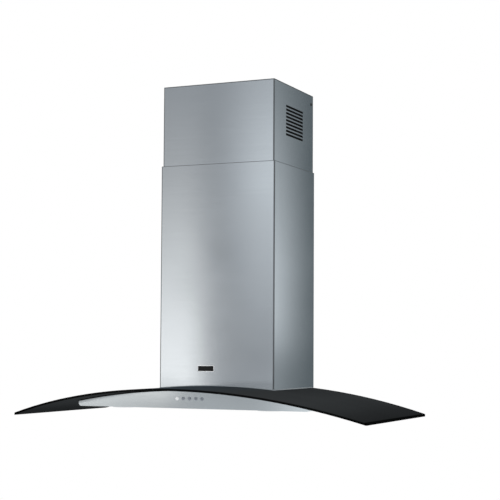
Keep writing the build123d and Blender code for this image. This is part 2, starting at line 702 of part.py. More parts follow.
def filter_latch():
    """Sliding bolt of the right filter, drawn back, with a finger tab below."""
    middle = filter_middle()
    low = PAN_TOP + GUIDE
    front = FILTER_FRONT + GUIDE
    half = LATCH_WIDTH / 2
    bolt = block(middle - half, middle + half, front, front + LATCH_LENGTH, low, low + LATCH_THICKNESS)
    bolt = chamfer(bolt.edges().filter_by(Axis.Z).sort_by(Axis.Y)[:2], LATCH_CHAMFER)
    tab = LATCH_TAB / 2
    tab_back = FILTER_FRONT + WINDOW_INSET + WINDOW_LENGTH - GUIDE
    tab_front = tab_back - LATCH_TAB_THICKNESS
    return bolt + block(middle - tab, middle + tab, tab_front, tab_back, BODY_BOTTOM, low)


def filter_clips():
    """Eyes on the carrier in which the hinge pins of both filters turn."""
    clips = []
    for side in (-1, 1):
        if side < 0:
            x1 = FILTER_INNER - FILTER_PLAY
            x0 = x1 - CLIP_THICKNESS
        else:
            x0 = FILTER_INNER + FILTER_WIDTH + FILTER_PLAY
            x1 = x0 + CLIP_THICKNESS
        radius = PIN_RADIUS + CLIP_WALL
        eye = rod_x(radius, x0, x1, PIN_Y, PIN_Z)
        eye += block(x0, x1, PIN_Y - radius, PIN_Y + radius, PAN_TOP, PIN_Z)
        eye -= rod_x(PIN_RADIUS + RUNNING, x0 - 1, x1 + 1, PIN_Y, PIN_Z)
        clips += [eye, mirrored(eye)]
    return clips


# ================================================================ motor box
def motor_box():
    """Folded box on the wall plate: back, two sides and a top with the outlet hole."""
    foot = BODY_BOTTOM + BODY_LOW_CORNER
    back = block(-HALF_BOX, HALF_BOX, -PLATE, 0, foot, BOX_TOP)
    inner = HALF_BOX - BOX_SHEET
    sides = block(-HALF_BOX, HALF_BOX, -BOX_DEPTH + BOX_SHEET, 0, BODY_BOTTOM, BOX_TOP)
    sides -= block(-inner, inner, -BOX_DEPTH, 1, BODY_BOTTOM - 1, BOX_TOP - BOX_SHEET)
    sides &= along_y(above_arch(HALF_BOX + 1, SKIN_OFFSET - SEAT, BOX_TOP + 1), -BOX_DEPTH, -PLATE)
    box = back + sides
    box -= rod_z(COLLAR_RADIUS - COLLAR_WALL, BOX_TOP - 5, BOX_TOP + 1, 0, COLLAR_Y)
    for x in (-WALL_HOLE_X, WALL_HOLE_X):
        for z in (-WALL_HOLE_SPACING_Z / 2, WALL_HOLE_SPACING_Z / 2):
            box -= rod_y(WALL_HOLE_RADIUS, -PLATE - 1, 1, x, WALL_HOLE_MIDDLE + z)
    for x, z in body_bolt_places():
        box -= rod_y(SCREW_HOLE, -PLATE - 1, 1, x, z)
    return box


def motor_box_cover():
    """Front plate of the motor box, with a foot that follows the arch."""
    outline = above_arch(HALF_BOX, SKIN_OFFSET - SEAT, BOX_TOP)
    cover = along_y(outline, -BOX_DEPTH, -BOX_DEPTH + BOX_SHEET)
    half = HALF_BOX - COVER_RIB_INSET
    for i in range(COVER_RIBS):
        middle = BOX_TOP * (i + 1) / (COVER_RIBS + 1)
        low = middle - COVER_RIB_HEIGHT / 2
        high = low + COVER_RIB_HEIGHT
        cover += block(-half, half, -BOX_DEPTH - COVER_RIB_RELIEF, -BOX_DEPTH, low, high)
    return cover


# ================================================================ blower
def scroll_outline(grow):
    """Spiral in Y and Z whose radius grows evenly from the tongue to the outlet."""
    span = 360 - TONGUE_ANGLE
    points = []
    for i in range(SCROLL_POINTS):
        share = i / (SCROLL_POINTS - 1)
        angle = radians(TONGUE_ANGLE + span * share)
        radius = SCROLL_START + (SCROLL_END - SCROLL_START) * share + grow
        points.append((FAN_Y + radius * cos(angle), FAN_LIFT + radius * sin(angle)))
    mouth = BOX_TOP - BOX_SHEET
    start = points[0]
    end = points[-1]
    edges = Spline(*points)
    edges += Polyline(end, (end[0], mouth), (start[0], mouth), start)
    return make_face(edges)


def scroll_half():
    """Left half of the fan's scroll, with a rounded inlet mouth."""
    shell = along_x(scroll_outline(SCROLL_WALL), -SCROLL_HALF - SCROLL_WALL, 0)
    shell -= along_x(scroll_outline(0), -SCROLL_HALF, 1)
    inlet = rod_x(INLET_RADIUS, -SCROLL_HALF - SCROLL_WALL - 1, -SCROLL_HALF + 1, FAN_Y, FAN_LIFT)
    shell -= inlet
    outer = -SCROLL_HALF - SCROLL_WALL
    profile = Polyline(
        (outer, INLET_RADIUS + INLET_LIP),
        (outer - INLET_LIP / 2, INLET_RADIUS + INLET_LIP),
        (outer - INLET_LIP / 2, INLET_RADIUS + INLET_LIP / 2),
        (outer + SCROLL_WALL, INLET_RADIUS - INLET_LIP),
        (outer + SCROLL_WALL + INLET_LIP, INLET_RADIUS - INLET_LIP),
        (outer + SCROLL_WALL + INLET_LIP, INLET_RADIUS),
        (outer, INLET_RADIUS),
        (outer, INLET_RADIUS + INLET_LIP),
    )
    lip = revolve(Plane.XZ * make_face(profile), axis=Axis.X)
    return shell + Pos(0, FAN_Y, FAN_LIFT) * lip


def fan_blade():
    """Section of one forward-curved blade, a strip bent along its middle."""
    inner = FAN_INNER + BLADE_INSET
    outer = FAN_RADIUS - BLADE_INSET
    middle = (inner + outer) / 2
    return make_face(
        Polyline(
            (inner, 0),
            (middle, BLADE_BULGE),
            (outer, 0),
            (outer, BLADE_THICKNESS),
            (middle, BLADE_BULGE + BLADE_THICKNESS),
            (inner, BLADE_THICKNESS),
            (inner, 0),
        )
    )


def on_fan_axis(piece):
    """A piece drawn about Z, laid on the axis of the fan with its Z along X."""
    return Pos(0, FAN_Y, FAN_LIFT) * Rot(0, 90, 0) * piece


def fan_wheel():
    """Middle disc of the squirrel-cage wheel, with the hub that holds the shaft."""
    disc = Pos(0, 0, -HUB_DISC / 2) * extrude(Circle(FAN_RADIUS), amount=HUB_DISC)
    disc += Pos(0, 0, HUB_LENGTH / 2) * Cylinder(HUB_RADIUS, HUB_LENGTH)
    return on_fan_axis(disc - Cylinder(SHAFT_RADIUS + PRESS, 3 * HUB_LENGTH))


def fan_ring():
    """Right end ring of the wheel, which holds the ends of the blades."""
    ring = extrude(Circle(FAN_RADIUS) - Circle(FAN_INNER), amount=RING_HEIGHT)
    return on_fan_axis(Pos(0, 0, FAN_WIDTH / 2 - RING_HEIGHT) * ring)


def fan_blades():
    """Blades of both halves of the wheel, each from the middle disc to an end ring."""
    face = HUB_DISC / 2
    length = FAN_WIDTH / 2 - RING_HEIGHT - face
    blade = extrude(fan_blade(), amount=length)
    blades = []
    for i in range(BLADES):
        turned = Rot(0, 0, 360 / BLADES * i) * blade
        blades += [on_fan_axis(Pos(0, 0, face) * turned), on_fan_axis(Pos(0, 0, -face - length) * turned)]
    return blades


def motor_right():
    """X of the end of the motor beside the wheel's disc."""
    return -HUB_DISC / 2 - MOTOR_GAP


def motor_left():
    """X of the outer end of the motor, just outside the inlet's lip."""
    return -SCROLL_HALF - SCROLL_WALL - INLET_LIP / 2 - SEAT


def motor_body():
    """Two pressed cups with a rolled joint and cooling slots, open for the shaft."""
    left = motor_left()
    right = motor_right()
    middle = (left + right) / 2
    body = rod_x(MOTOR_RADIUS, left, right, FAN_Y, FAN_LIFT)
    body = chamfer(body.edges().filter_by(GeomType.CIRCLE), MOTOR_CHAMFER)
    body += rod_x(MOTOR_RADIUS + MOTOR_BEAD, middle - MOTOR_BEAD, middle + MOTOR_BEAD, FAN_Y, FAN_LIFT)
    body -= rod_x(BEARING_RADIUS, left - 1, left + BEARING_LENGTH, FAN_Y, FAN_LIFT)
    body -= rod_x(BEARING_RADIUS, right - BEARING_LENGTH, right + 1, FAN_Y, FAN_LIFT)
    body -= rod_x(SHAFT_RADIUS + MOTOR_BORE_GAP, left, right, FAN_Y, FAN_LIFT)
    half = MOTOR_SLOT_WIDTH / 2
    low = MOTOR_RADIUS - MOTOR_SLOT_INNER
    high = MOTOR_RADIUS - MOTOR_SLOT_OUTER
    slot = block(left - 1, left + MOTOR_SLOT_DEPTH, -half, half, low, high)
    for i in range(MOTOR_SLOTS):
        body -= Pos(0, FAN_Y, FAN_LIFT) * Rot(360 / MOTOR_SLOTS * (i + 0.5), 0, 0) * slot
    return body


def motor_bearings():
    """One plain bearing at each end of the motor."""
    rings = []
    for x in (motor_left(), motor_right() - BEARING_LENGTH):
        ring = rod_x(BEARING_RADIUS, x, x + BEARING_LENGTH, FAN_Y, FAN_LIFT)
        ring -= rod_x(SHAFT_RADIUS + RUNNING, x - 1, x + BEARING_LENGTH + 1, FAN_Y, FAN_LIFT)
        rings.append(ring)
    return rings


def motor_shaft():
    """Steel shaft from the outer bearing through the wheel's hub."""
    right = HUB_LENGTH + SHAFT_END
    shaft = rod_x(SHAFT_RADIUS, motor_left() - SHAFT_TAIL, right, FAN_Y, FAN_LIFT)
    return chamfer(shaft.edges().filter_by(GeomType.CIRCLE), SHAFT_CHAMFER)


def fan_nut():
    """Hexagon nut that holds the wheel on the shaft."""
    nut = extrude(RegularPolygon(NUT_RADIUS, 6), amount=NUT_HEIGHT)
    nut -= Cylinder(SHAFT_RADIUS + PRESS, 4 * NUT_HEIGHT)
    return on_fan_axis(Pos(0, 0, HUB_LENGTH) * nut)


def motor_bracket():
    """Three arms that carry the motor in the left inlet, each on a foot on the scroll."""
    right = motor_left()
    left = right - ARM_THICKNESS
    wall = -SCROLL_HALF - SCROLL_WALL
    foot_start = INLET_RADIUS + INLET_LIP + ARM_LIP_GAP
    reach = foot_start + ARM_FOOT
    half = ARM_WIDTH / 2
    bracket = rod_x(MOTOR_RADIUS - ARM_HUB_INSET, left, right, FAN_Y, FAN_LIFT)
    bracket -= rod_x(BEARING_RADIUS - ARM_EYE_INSET, left - 1, right + 1, FAN_Y, FAN_LIFT)
    arm = block(left, right, -half, half, MOTOR_RADIUS - ARM_ROOT_INSET, reach)
    arm += block(left, wall, -half, half, foot_start, reach)
    for i in range(ARMS):
        bracket += Pos(0, FAN_Y, FAN_LIFT) * Rot(360 / ARMS * (i + 0.5), 0, 0) * arm
    return bracket


# ================================================================ outlet
def outlet_collar():
    """Round duct collar on a square flange, with a stop for the flaps and holes for their pin."""
    half = COLLAR_FLANGE_HALF
    collar = block(-half, half, COLLAR_Y - half, COLLAR_Y + half, BOX_TOP, BOX_TOP + COLLAR_FLANGE)
    collar = fillet(collar.edges().filter_by(Axis.Z), COLLAR_CORNER)
    collar += rod_z(COLLAR_RADIUS, BOX_TOP, BOX_TOP + COLLAR_FLANGE + COLLAR_LENGTH, 0, COLLAR_Y)
    collar -= rod_z(COLLAR_RADIUS - COLLAR_WALL, BOX_TOP - 1, BOX_TOP + COLLAR_LENGTH + 9, 0, COLLAR_Y)
    top = FLAP_Z - FLAP_THICKNESS / 2 - SEAT
    stop = rod_z(COLLAR_RADIUS - COLLAR_WALL + STOP_ROOT, top - STOP_HEIGHT, top, 0, COLLAR_Y)
    stop -= rod_z(COLLAR_RADIUS - COLLAR_WALL - STOP_WIDTH, top - 9, top + 9, 0, COLLAR_Y)
    collar += stop
    pin_half = COLLAR_RADIUS + 2
    collar -= rod_y(FLAP_PIN_RADIUS + RUNNING, COLLAR_Y - pin_half, COLLAR_Y + pin_half, 0, FLAP_Z)
    return collar


def flap_pin():
    """Thin rod across the collar that both flaps turn on."""
    reach = COLLAR_RADIUS - FLAP_PIN_INSET
    return rod_y(FLAP_PIN_RADIUS, COLLAR_Y - reach, COLLAR_Y + reach, 0, FLAP_Z)


def damper_flap():
    """Left damper flap: a half disc with two knuckles round the pin."""
    radius = COLLAR_RADIUS - COLLAR_WALL - FLAP_GAP
    low = FLAP_Z - FLAP_THICKNESS / 2
    high = FLAP_Z + FLAP_THICKNESS / 2
    edge = KNUCKLE_RADIUS + KNUCKLE_GAP
    flap = rod_z(radius, low, high, 0, COLLAR_Y)
    flap -= block(-edge, radius + 1, COLLAR_Y - radius - 1, COLLAR_Y + radius + 1, low - 1, high + 1)
    share = radius / 6
    for start in (-5 * share, share):
        y0 = COLLAR_Y + start
        y1 = y0 + 2 * share - KNUCKLE_GAP
        flap += rod_y(KNUCKLE_RADIUS, y0, y1, 0, FLAP_Z)
        flap += block(-edge - 1, 0, y0, y1, low, high)
        flap -= rod_y(FLAP_PIN_RADIUS + RUNNING, y0 - 1, y1 + 1, 0, FLAP_Z)
    return flap


def damper_flap_right():
    """Right damper flap: the left one turned half round the collar's axis."""
    return Pos(0, COLLAR_Y, 0) * Rot(0, 0, 180) * Pos(0, -COLLAR_Y, 0) * damper_flap()


# ================================================================ electrical parts
def control_box():
    """Open plastic tray on the left side of the motor box."""
    right = -HALF_BOX
    left = right - CONTROL_THICKNESS
    back = -CONTROL_BACK
    front = back - CONTROL_DEPTH
    low = CONTROL_LIFT
    high = CONTROL_LIFT + CONTROL_HEIGHT
    tray = block(left, right, front, back, low, high)
    tray = fillet(tray.edges().filter_by(Axis.X), CONTROL_CORNER)
    wall = CONTROL_WALL
    tray -= block(left - 1, right - wall, front + wall, back - wall, low + wall, high - wall)
    gland_y = (front + back) / 2
    return tray - rod_z(GLAND_RADIUS - GLAND_SEAT, high - 5, high + 1, gland_x(), gland_y)


def gland_x():
    """X of the cable gland, in the middle of the control box."""
    return -HALF_BOX - CONTROL_THICKNESS / 2


def control_box_lid():
    """Flat lid of the control box."""
    left = -HALF_BOX - CONTROL_THICKNESS
    back = -CONTROL_BACK
    high = CONTROL_LIFT + CONTROL_HEIGHT
    lid = block(left - LID_THICKNESS, left, back - CONTROL_DEPTH, back, CONTROL_LIFT, high)
    return fillet(lid.edges().filter_by(Axis.X), CONTROL_CORNER)


def circuit_board():
    """Board with its transformer and relay, on two feet inside the control box."""
    right = -HALF_BOX - CONTROL_WALL
    face = right - BOARD_FOOT - BOARD_THICKNESS
    front = -CONTROL_BACK - CONTROL_DEPTH + BOARD_MARGIN
    back = -CONTROL_BACK - BOARD_MARGIN
    low = CONTROL_LIFT + BOARD_MARGIN
    high = CONTROL_LIFT + CONTROL_HEIGHT - 2 * BOARD_MARGIN
    foot = BOARD_FOOT_WIDTH
    start = front + BOARD_MARGIN
    end = back - BOARD_MARGIN
    board = block(face, right - BOARD_FOOT, front, back, low, high)
    board += block(right - BOARD_FOOT, right, front, front + foot, low, low + foot)
    board += block(right - BOARD_FOOT, right, back - foot, back, high - foot, high)
    lift = low + BOARD_MARGIN
    stop = start + TRANSFORMER_LENGTH
    board += block(face - TRANSFORMER_DEPTH, face, start, stop, lift, lift + TRANSFORMER_HEIGHT)
    return board + block(face - RELAY_DEPTH, face, end - RELAY_LENGTH, end, lift, lift + RELAY_HEIGHT)


def cable_gland():
    """Screwed cable inlet on top of the control box, with an empty bore."""
    y = -CONTROL_BACK - CONTROL_DEPTH / 2
    x = gland_x()
    top = CONTROL_LIFT + CONTROL_HEIGHT
    gland = Pos(x, y, top) * extrude(RegularPolygon(GLAND_RADIUS, 6), amount=GLAND_NUT)
    gland += rod_z(GLAND_RADIUS - GLAND_STEP, top, top + GLAND_LENGTH, x, y)
    gland += rod_z(GLAND_RADIUS - GLAND_SEAT - GLAND_PLAY, top - CONTROL_WALL, top, x, y)
    return gland - rod_z(GLAND_BORE, top - 9, top + GLAND_LENGTH + 1, x, y)


def capacitor_x():
    """X of the capacitor's axis."""
    return HALF_BOX + CAPACITOR_RADIUS + CAPACITOR_BAND


def capacitor():
    """Round motor capacitor on the right side of the motor box."""
    high = CAPACITOR_LIFT + CAPACITOR_LENGTH
    can = rod_z(CAPACITOR_RADIUS, CAPACITOR_LIFT, high, capacitor_x(), -BOX_DEPTH / 2)
    return chamfer(can.edges().filter_by(GeomType.CIRCLE), CAPACITOR_CHAMFER)


def capacitor_clip():
    """Spring clip round the capacitor, on a foot against the box."""
    x = capacitor_x()
    y = -BOX_DEPTH / 2
    low = CAPACITOR_LIFT + CAPACITOR_LENGTH / 3
    high = low + CAPACITOR_BAND_HEIGHT
    clip = rod_z(CAPACITOR_RADIUS + CAPACITOR_BAND, low, high, x, y)
    foot = CAPACITOR_FOOT
    clip += block(HALF_BOX, HALF_BOX + CAPACITOR_BAND, y - foot, y + foot, low, high)
    clip -= rod_z(CAPACITOR_RADIUS, low - 1, high + 1, x, y)
    mouth = x + CAPACITOR_MOUTH_START
    half = CAPACITOR_MOUTH
    return clip - block(mouth, mouth + 2 * CAPACITOR_RADIUS, y - half, y + half, low - 1, high + 1)


# ================================================================ chimney
def rounded_plan(half, front, back, radius):
    """Plan of a box with folded corners, in X and Y."""
    plan = Pos(0, (front + back) / 2) * Rectangle(2 * half, back - front)
    return fillet(plan.vertices(), radius)


def cover_outline(width, front, back):
    """Plan of a chimney cover: three walls and two flanges turned in at the wall."""
    half = width / 2
    outer = rounded_plan(half, front, back, CHIMNEY_BEND)
    inner = rounded_plan(half - SHEET, front + SHEET, back - SHEET, CHIMNEY_BEND - SHEET)
    gap = half - CHIMNEY_FLANGE
    mouth = Pos(0, back) * Rectangle(2 * gap, 4 * SHEET)
    return outer - inner - mouth


def lower_chimney():
    """Lower cover, whose foot is cut to the arch of the glass."""
    plan = cover_outline(CHIMNEY_WIDTH, -CHIMNEY_DEPTH, 0)
    cover = along_z(plan, -CHIMNEY_FOOT, CHIMNEY_SEAM)
    half = CHIMNEY_WIDTH / 2
    above = above_arch(half + 1, -SEAT, CHIMNEY_SEAM + 1)
    return cover & along_y(above, -CHIMNEY_DEPTH - 1, 1)


def upper_chimney():
    """Upper cover, which slides inside the lower one, with vent slots in both sides."""
    cover = along_z(cover_outline(UPPER_WIDTH, UPPER_FRONT, UPPER_BACK), UPPER_BOTTOM, CHIMNEY_TOP)
    slot = Rectangle(VENT_LENGTH, VENT_HEIGHT)
    slots = []
    for i in range(VENT_COUNT):
        height = VENT_MIDDLE + VENT_PITCH * (i - (VENT_COUNT - 1) / 2)
        slots.append(Pos(-VENT_BACK, height) * slot)
    half = UPPER_WIDTH / 2
    cover -= along_x(Sketch() + slots, -half - 1, half + 1)
    for side in (-1, 1):
        face = side * half
        cover -= rod_x(SCREW_RADIUS + SCREW_PLAY, face - 2, face + 2, ear_screw_y(), ear_screw_z())
    return cover


def slide_guides():
    """Nylon strips inside the mouth of the lower cover, on its sides and front."""
    thickness = CHIMNEY_STEP - SHEET - SEAT
    high = CHIMNEY_SEAM - GUIDE_DROP
    low = high - GUIDE_HEIGHT
    side_x = CHIMNEY_WIDTH / 2 - SHEET
    middle = -CHIMNEY_DEPTH / 2
    half = GUIDE_LENGTH / 2
    side = block(side_x - thickness, side_x, middle - half, middle + half, low, high)
    front_y = -CHIMNEY_DEPTH + SHEET
    front = block(-half, half, front_y, front_y + thickness, low, high)
    return [side, mirrored(side), front]


def chimney_tabs():
    """Z-shaped tabs from the motor box to the sides of the lower cover."""
    inner = HALF_BOX
    outer = CHIMNEY_WIDTH / 2 - SHEET - SEAT
    back = -TAB_BACK
    front = back - TAB_REACH
    high = TAB_LIFT + TAB_HEIGHT
    tab = block(inner, inner + SHEET, front, back, TAB_LIFT, high)
    tab += block(inner, outer, back - SHEET, back, TAB_LIFT, high)
    tab += block(outer - SHEET, outer, front, back, TAB_LIFT, high)
    return [tab, mirrored(tab)]


def badge_plate():
    """Plain plate on the front of the lower cover."""
    left = BADGE_X - BADGE_WIDTH / 2
    low = BADGE_HEIGHT - BADGE_RISE / 2
    front = -CHIMNEY_DEPTH - BADGE_THICKNESS
    plate = block(left, left + BADGE_WIDTH, front, -CHIMNEY_DEPTH, low, low + BADGE_RISE)
    return fillet(plate.edges().filter_by(Axis.Y), BADGE_CORNER)


def bracket_top():
    """Height of the top of the wall bracket."""
    return CHIMNEY_TOP - BRACKET_DROP


def ear_screw_y():
    """Y of the screws that hold the upper cover to its bracket."""
    return UPPER_BACK - SHEET - BRACKET_EAR / 2


def ear_screw_z():
    """Height of the screws that hold the upper cover to its bracket."""
    return bracket_top() - BRACKET_HEIGHT / 2


def chimney_bracket():
    """Wall bracket of the upper cover: a bar on two pads, with an ear at each end."""
    half = UPPER_WIDTH / 2 - SHEET - SEAT
    low = bracket_top() - BRACKET_HEIGHT
    high = bracket_top()
    front = UPPER_BACK - SHEET - SEAT
    bar = block(-half, half, front - BOX_SHEET, front, low, high)
    for side in (-1, 1):
        x = side * BRACKET_HOLE_SPACING / 2
        bar += block(x - BRACKET_PAD / 2, x + BRACKET_PAD / 2, front, 0, low, high)
        bar -= rod_y(BRACKET_HOLE_RADIUS, front - 5, 1, x, (low + high) / 2)
        edge = side * half
        inner = side * (half - BOX_SHEET)
        bar += block(min(edge, inner), max(edge, inner), front - BRACKET_EAR, front, low, high)
        bar -= rod_x(SCREW_RADIUS + SCREW_PLAY, edge - 3, edge + 3, ear_screw_y(), ear_screw_z())
    return bar


def chimney_screws():
    """The two screws that hold the upper cover to its bracket."""
    face = UPPER_WIDTH / 2
    y = ear_screw_y()
    z = ear_screw_z()
    screw = rod_x(SCREW_RADIUS, face - EAR_SCREW_LENGTH, face, y, z)
    head = rod_x(EAR_HEAD_RADIUS, face, face + EAR_HEAD_HEIGHT, y, z)
    head = chamfer(head.edges().sort_by(Axis.X)[-1], EAR_HEAD_CHAMFER)
    screw += head
    return [screw, mirrored(screw)]


# ================================================================ screws
def glass_screws():
    """Screws with broad washers that hold the glass to the body."""
    screws = []
    for x, y in screw_places():
        top = arch_z(abs(x), 0) + SEAT
        foot = arch_z(abs(x), SKIN_OFFSET + SHEET) - GLASS_SCREW_REACH
        lift = top + (abs(x) + WASHER_RADIUS) * WASHER_RADIUS / ARCH_RADIUS
        screw = rod_z(WASHER_RADIUS, lift, lift + WASHER_THICKNESS, x, y)
        head = extrude(RegularPolygon(SCREW_HEAD, 6), amount=SCREW_HEAD_HEIGHT)
        screw += Pos(x, y, lift + WASHER_THICKNESS) * head
        screw += rod_z(SCREW_RADIUS, foot, lift, x, y)
        screws.append(screw)
    return screws


def body_bolts():
    """Bolts that hold the back of the body to the foot of the wall plate."""
    bolts = []
    for x, z in body_bolt_places():
        bolt = rod_y(SCREW_RADIUS, BODY_INNER_BACK, -BOLT_END_GAP, x, z)
        head = Pos(x, z) * RegularPolygon(SCREW_HEAD, 6)
        bolt += along_y(head, BODY_INNER_BACK - SCREW_HEAD_HEIGHT, BODY_INNER_BACK)
        bolts.append(bolt)
    return bolts


# ================================================================ all sub-parts
def main():
    os.makedirs("parts", exist_ok=True)
    save("glass_canopy", glass_canopy())
    save("glass_seal", *glass_seal())
    save("front_fascia", front_fascia())
    save("body_top", *body_top())
    save("rear_panel", rear_panel())
    save("lamp_panel", lamp_panel())
    save("filter_carrier", filter_carrier())
    save("filter_clips", *filter_clips())
    for name, x in zip(("light", "off", "low", "medium", "high"), button_places()):
        save("button_" + name, push_button(x))
    save("switch_block", switch_block())
    for name, x in (("left", -LAMP_X), ("right", LAMP_X)):
        save("lamp_ring_" + name, lamp_ring(x))
        save("lamp_lens_" + name, lamp_lens(x))
        save("lamp_body_" + name, lamp_body(x))
    for name, piece in (("frame", filter_frame()), ("mesh", filter_mesh()), ("latch", filter_latch())):
        save("filter_" + name + "_right", piece)
        save("filter_" + name + "_left", mirrored(piece))
    save("motor_box", motor_box())
    save("motor_box_cover", motor_box_cover())
    save("scroll_left", scroll_half())
    save("scroll_right", mirrored(scroll_half()))
    save("fan_wheel", fan_wheel())
    save("fan_blades", *fan_blades())
    save("fan_ring_right", fan_ring())
    save("fan_ring_left", mirrored(fan_ring()))
    save("fan_nut", fan_nut())
    save("motor_shaft", motor_shaft())
    save("motor_body", motor_body())
    save("motor_bearings", *motor_bearings())
    save("motor_bracket", motor_bracket())
    save("outlet_collar", outlet_collar())
    save("flap_pin", flap_pin())
    save("damper_flap_left", damper_flap())
    save("damper_flap_right", damper_flap_right())
    save("control_box", control_box())
    save("control_box_lid", control_box_lid())
    save("circuit_board", circuit_board())
    save("cable_gland", cable_gland())
    save("capacitor", capacitor())
    save("capacitor_clip", capacitor_clip())
    save("lower_chimney", lower_chimney())
    save("slide_guides", *slide_guides())
    save("chimney_tabs", *chimney_tabs())
    save("badge_plate", badge_plate())
    save("upper_chimney", upper_chimney())
    save("chimney_bracket", chimney_bracket())
    save("chimney_screws", *chimney_screws())
    save("glass_screws", *glass_screws())
    save("body_bolts", *body_bolts())


main()
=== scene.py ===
import json
import math

import bmesh
import bpy
import numpy as np
from mathutils import Matrix, Vector


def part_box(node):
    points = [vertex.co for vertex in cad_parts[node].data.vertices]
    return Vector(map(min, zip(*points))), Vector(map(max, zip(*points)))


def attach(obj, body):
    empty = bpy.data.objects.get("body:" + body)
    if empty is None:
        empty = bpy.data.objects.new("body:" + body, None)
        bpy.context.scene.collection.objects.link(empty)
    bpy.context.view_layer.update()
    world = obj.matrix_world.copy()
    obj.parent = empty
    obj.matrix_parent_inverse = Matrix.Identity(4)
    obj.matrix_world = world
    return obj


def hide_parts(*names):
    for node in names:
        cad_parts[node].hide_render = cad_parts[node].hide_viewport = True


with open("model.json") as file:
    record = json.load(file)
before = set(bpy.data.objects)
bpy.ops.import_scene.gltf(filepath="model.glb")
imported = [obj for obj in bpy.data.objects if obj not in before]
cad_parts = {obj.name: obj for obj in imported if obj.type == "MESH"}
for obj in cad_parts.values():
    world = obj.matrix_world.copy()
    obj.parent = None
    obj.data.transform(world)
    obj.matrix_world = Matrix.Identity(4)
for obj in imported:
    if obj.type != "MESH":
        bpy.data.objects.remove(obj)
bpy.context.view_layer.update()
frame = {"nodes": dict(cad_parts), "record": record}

bl_info = {
    "name": "Curved Glass Chimney Hood",
    "version": (1, 0, 0),
    "blender": (4, 5, 0),
    "location": "View3D > Sidebar > Hood",
    "description": "Finishes and fine pieces of a wall hood with a curved glass canopy",
    "category": "Object",
}

MM = 0.001
SIDES = ("left", "right")
SLOT_ROWS = 9
SLOT_PITCH = 8.7 * MM
SLOT_HEIGHT = 4.5 * MM
SLOT_LENGTH = 108 * MM
SLOT_BACK = 127 * MM  # from the wall to the middle of a slot
SLOT_DROP = 89 * MM  # from the top of the upper cover to the middle row
SHADE_SHEET_GAP = 0.3 * MM  # from the inner face of the cover to the near-black sheet of painted shade
SHADE_SHEET_FRONT = 62 * MM  # from the front of the upper cover
SHADE_SHEET_BACK = 60 * MM  # from the wall
SHADE_SHEET_TOP = 43 * MM  # this and the next from the top of the upper cover
SHADE_SHEET_FOOT = 136 * MM
RIM_SEAT = 0.1 * MM  # how far the badge rim stands off the cover
RIM_DEPTH = 0.6 * MM
RIM_CORNER = 0.8 * MM
LAMP_STEPS = 72  # round a lamp glass
BEAD_INSET = 1 * MM  # from the back of the glass to the ends of the bead
MARK_DEPTH = 0.04 * MM  # half the thickness of a number
MARK_GAP = 0.02 * MM  # from a button's face to the middle of its number
DIGIT_SHARE = 0.7  # height of a digit as a share of its font's size
FLOOR_DROP = 1.5  # metres from the crown of the glass to the floor
FLOOR_RINGS = (1.5, 3.0, 4.5, 6.0)  # radius in metres
FLOOR_STEPS = 96

BODY_OF = {part: body for body, parts in frame["record"]["behaviour"]["bodies"].items() for part in parts}
BUTTON_DIGITS = {"button_off": "0", "button_low": "1", "button_medium": "2", "button_high": "3"}
FINISHES = {
    "lower_chimney": "lower_chimney", "upper_chimney": "upper_chimney",
    "chimney_screws": "dark_screws_with_painted_shade", "button_light": "painted_glow_button",
}
MATERIALS = {}

# finish: (name, colour, roughness, grain of the mould in mm, its relief in mm, spread of colour, gloss)
PLASTICS = {
    "white_plastic": ("white_moulded_abs", "white", 0.35, 0.4, 0.01, 0.02),  # clean, with a soft sheen
    "dark_plastic": ("dark_moulded_abs", "dark", 0.4, 0.4, 0.02),  # satin, cool grey
    "black_plastic": ("black_glass_filled_nylon", "black", 0.55, 0.7, 0.05),  # dull, with a coarse grain
    "grey_plastic": ("grey_moulded_polypropylene", "grey", 0.5, 0.8, 0.05),  # waxy mid grey
    "nylon": ("natural_moulded_nylon", "nylon", 0.45, 0.6, 0.03),  # warm and milky
    "badge_black": ("black_gloss_acrylic", "badge", 0.2, 0.5, 0.004, 0.06, 0.2),  # deep and polished
    "silver_foil": ("silver_foil_on_acrylic", "foil", 0.3, 0.3, 0.004, 0.02),  # a bright thin line
    "clear_silicone": ("clear_silicone_rubber", "silicone", 0.3, 0.8, 0.02),  # wet, takes the steel's grey
    # painted shade: a near-black sheet behind the slots stands for the dark inside of the chimney
    "painted_shade_plastic": ("matt_black_polypropylene", "baffle", 0.8, 0.8, 0.05, 0.06, 0.1),  # swallows light
    "mark_ink": ("screen_printed_ink", "ink", 0.5, 0.2, 0.002),  # flat and dark
}
# finish: (name, colour, distance between the lathe's rings in mm)
TURNED_METALS = {
    "machined_steel": ("zinc_plated_turned_steel", "plated", 0.35),
    "brass_bush": ("sintered_bronze", "bronze", 0.5),
    # dark as painted shade along the wall edge, so the screw heads show no highlight
    "dark_screws_with_painted_shade": ("blackened_turned_steel", "blackened", 0.35),
}

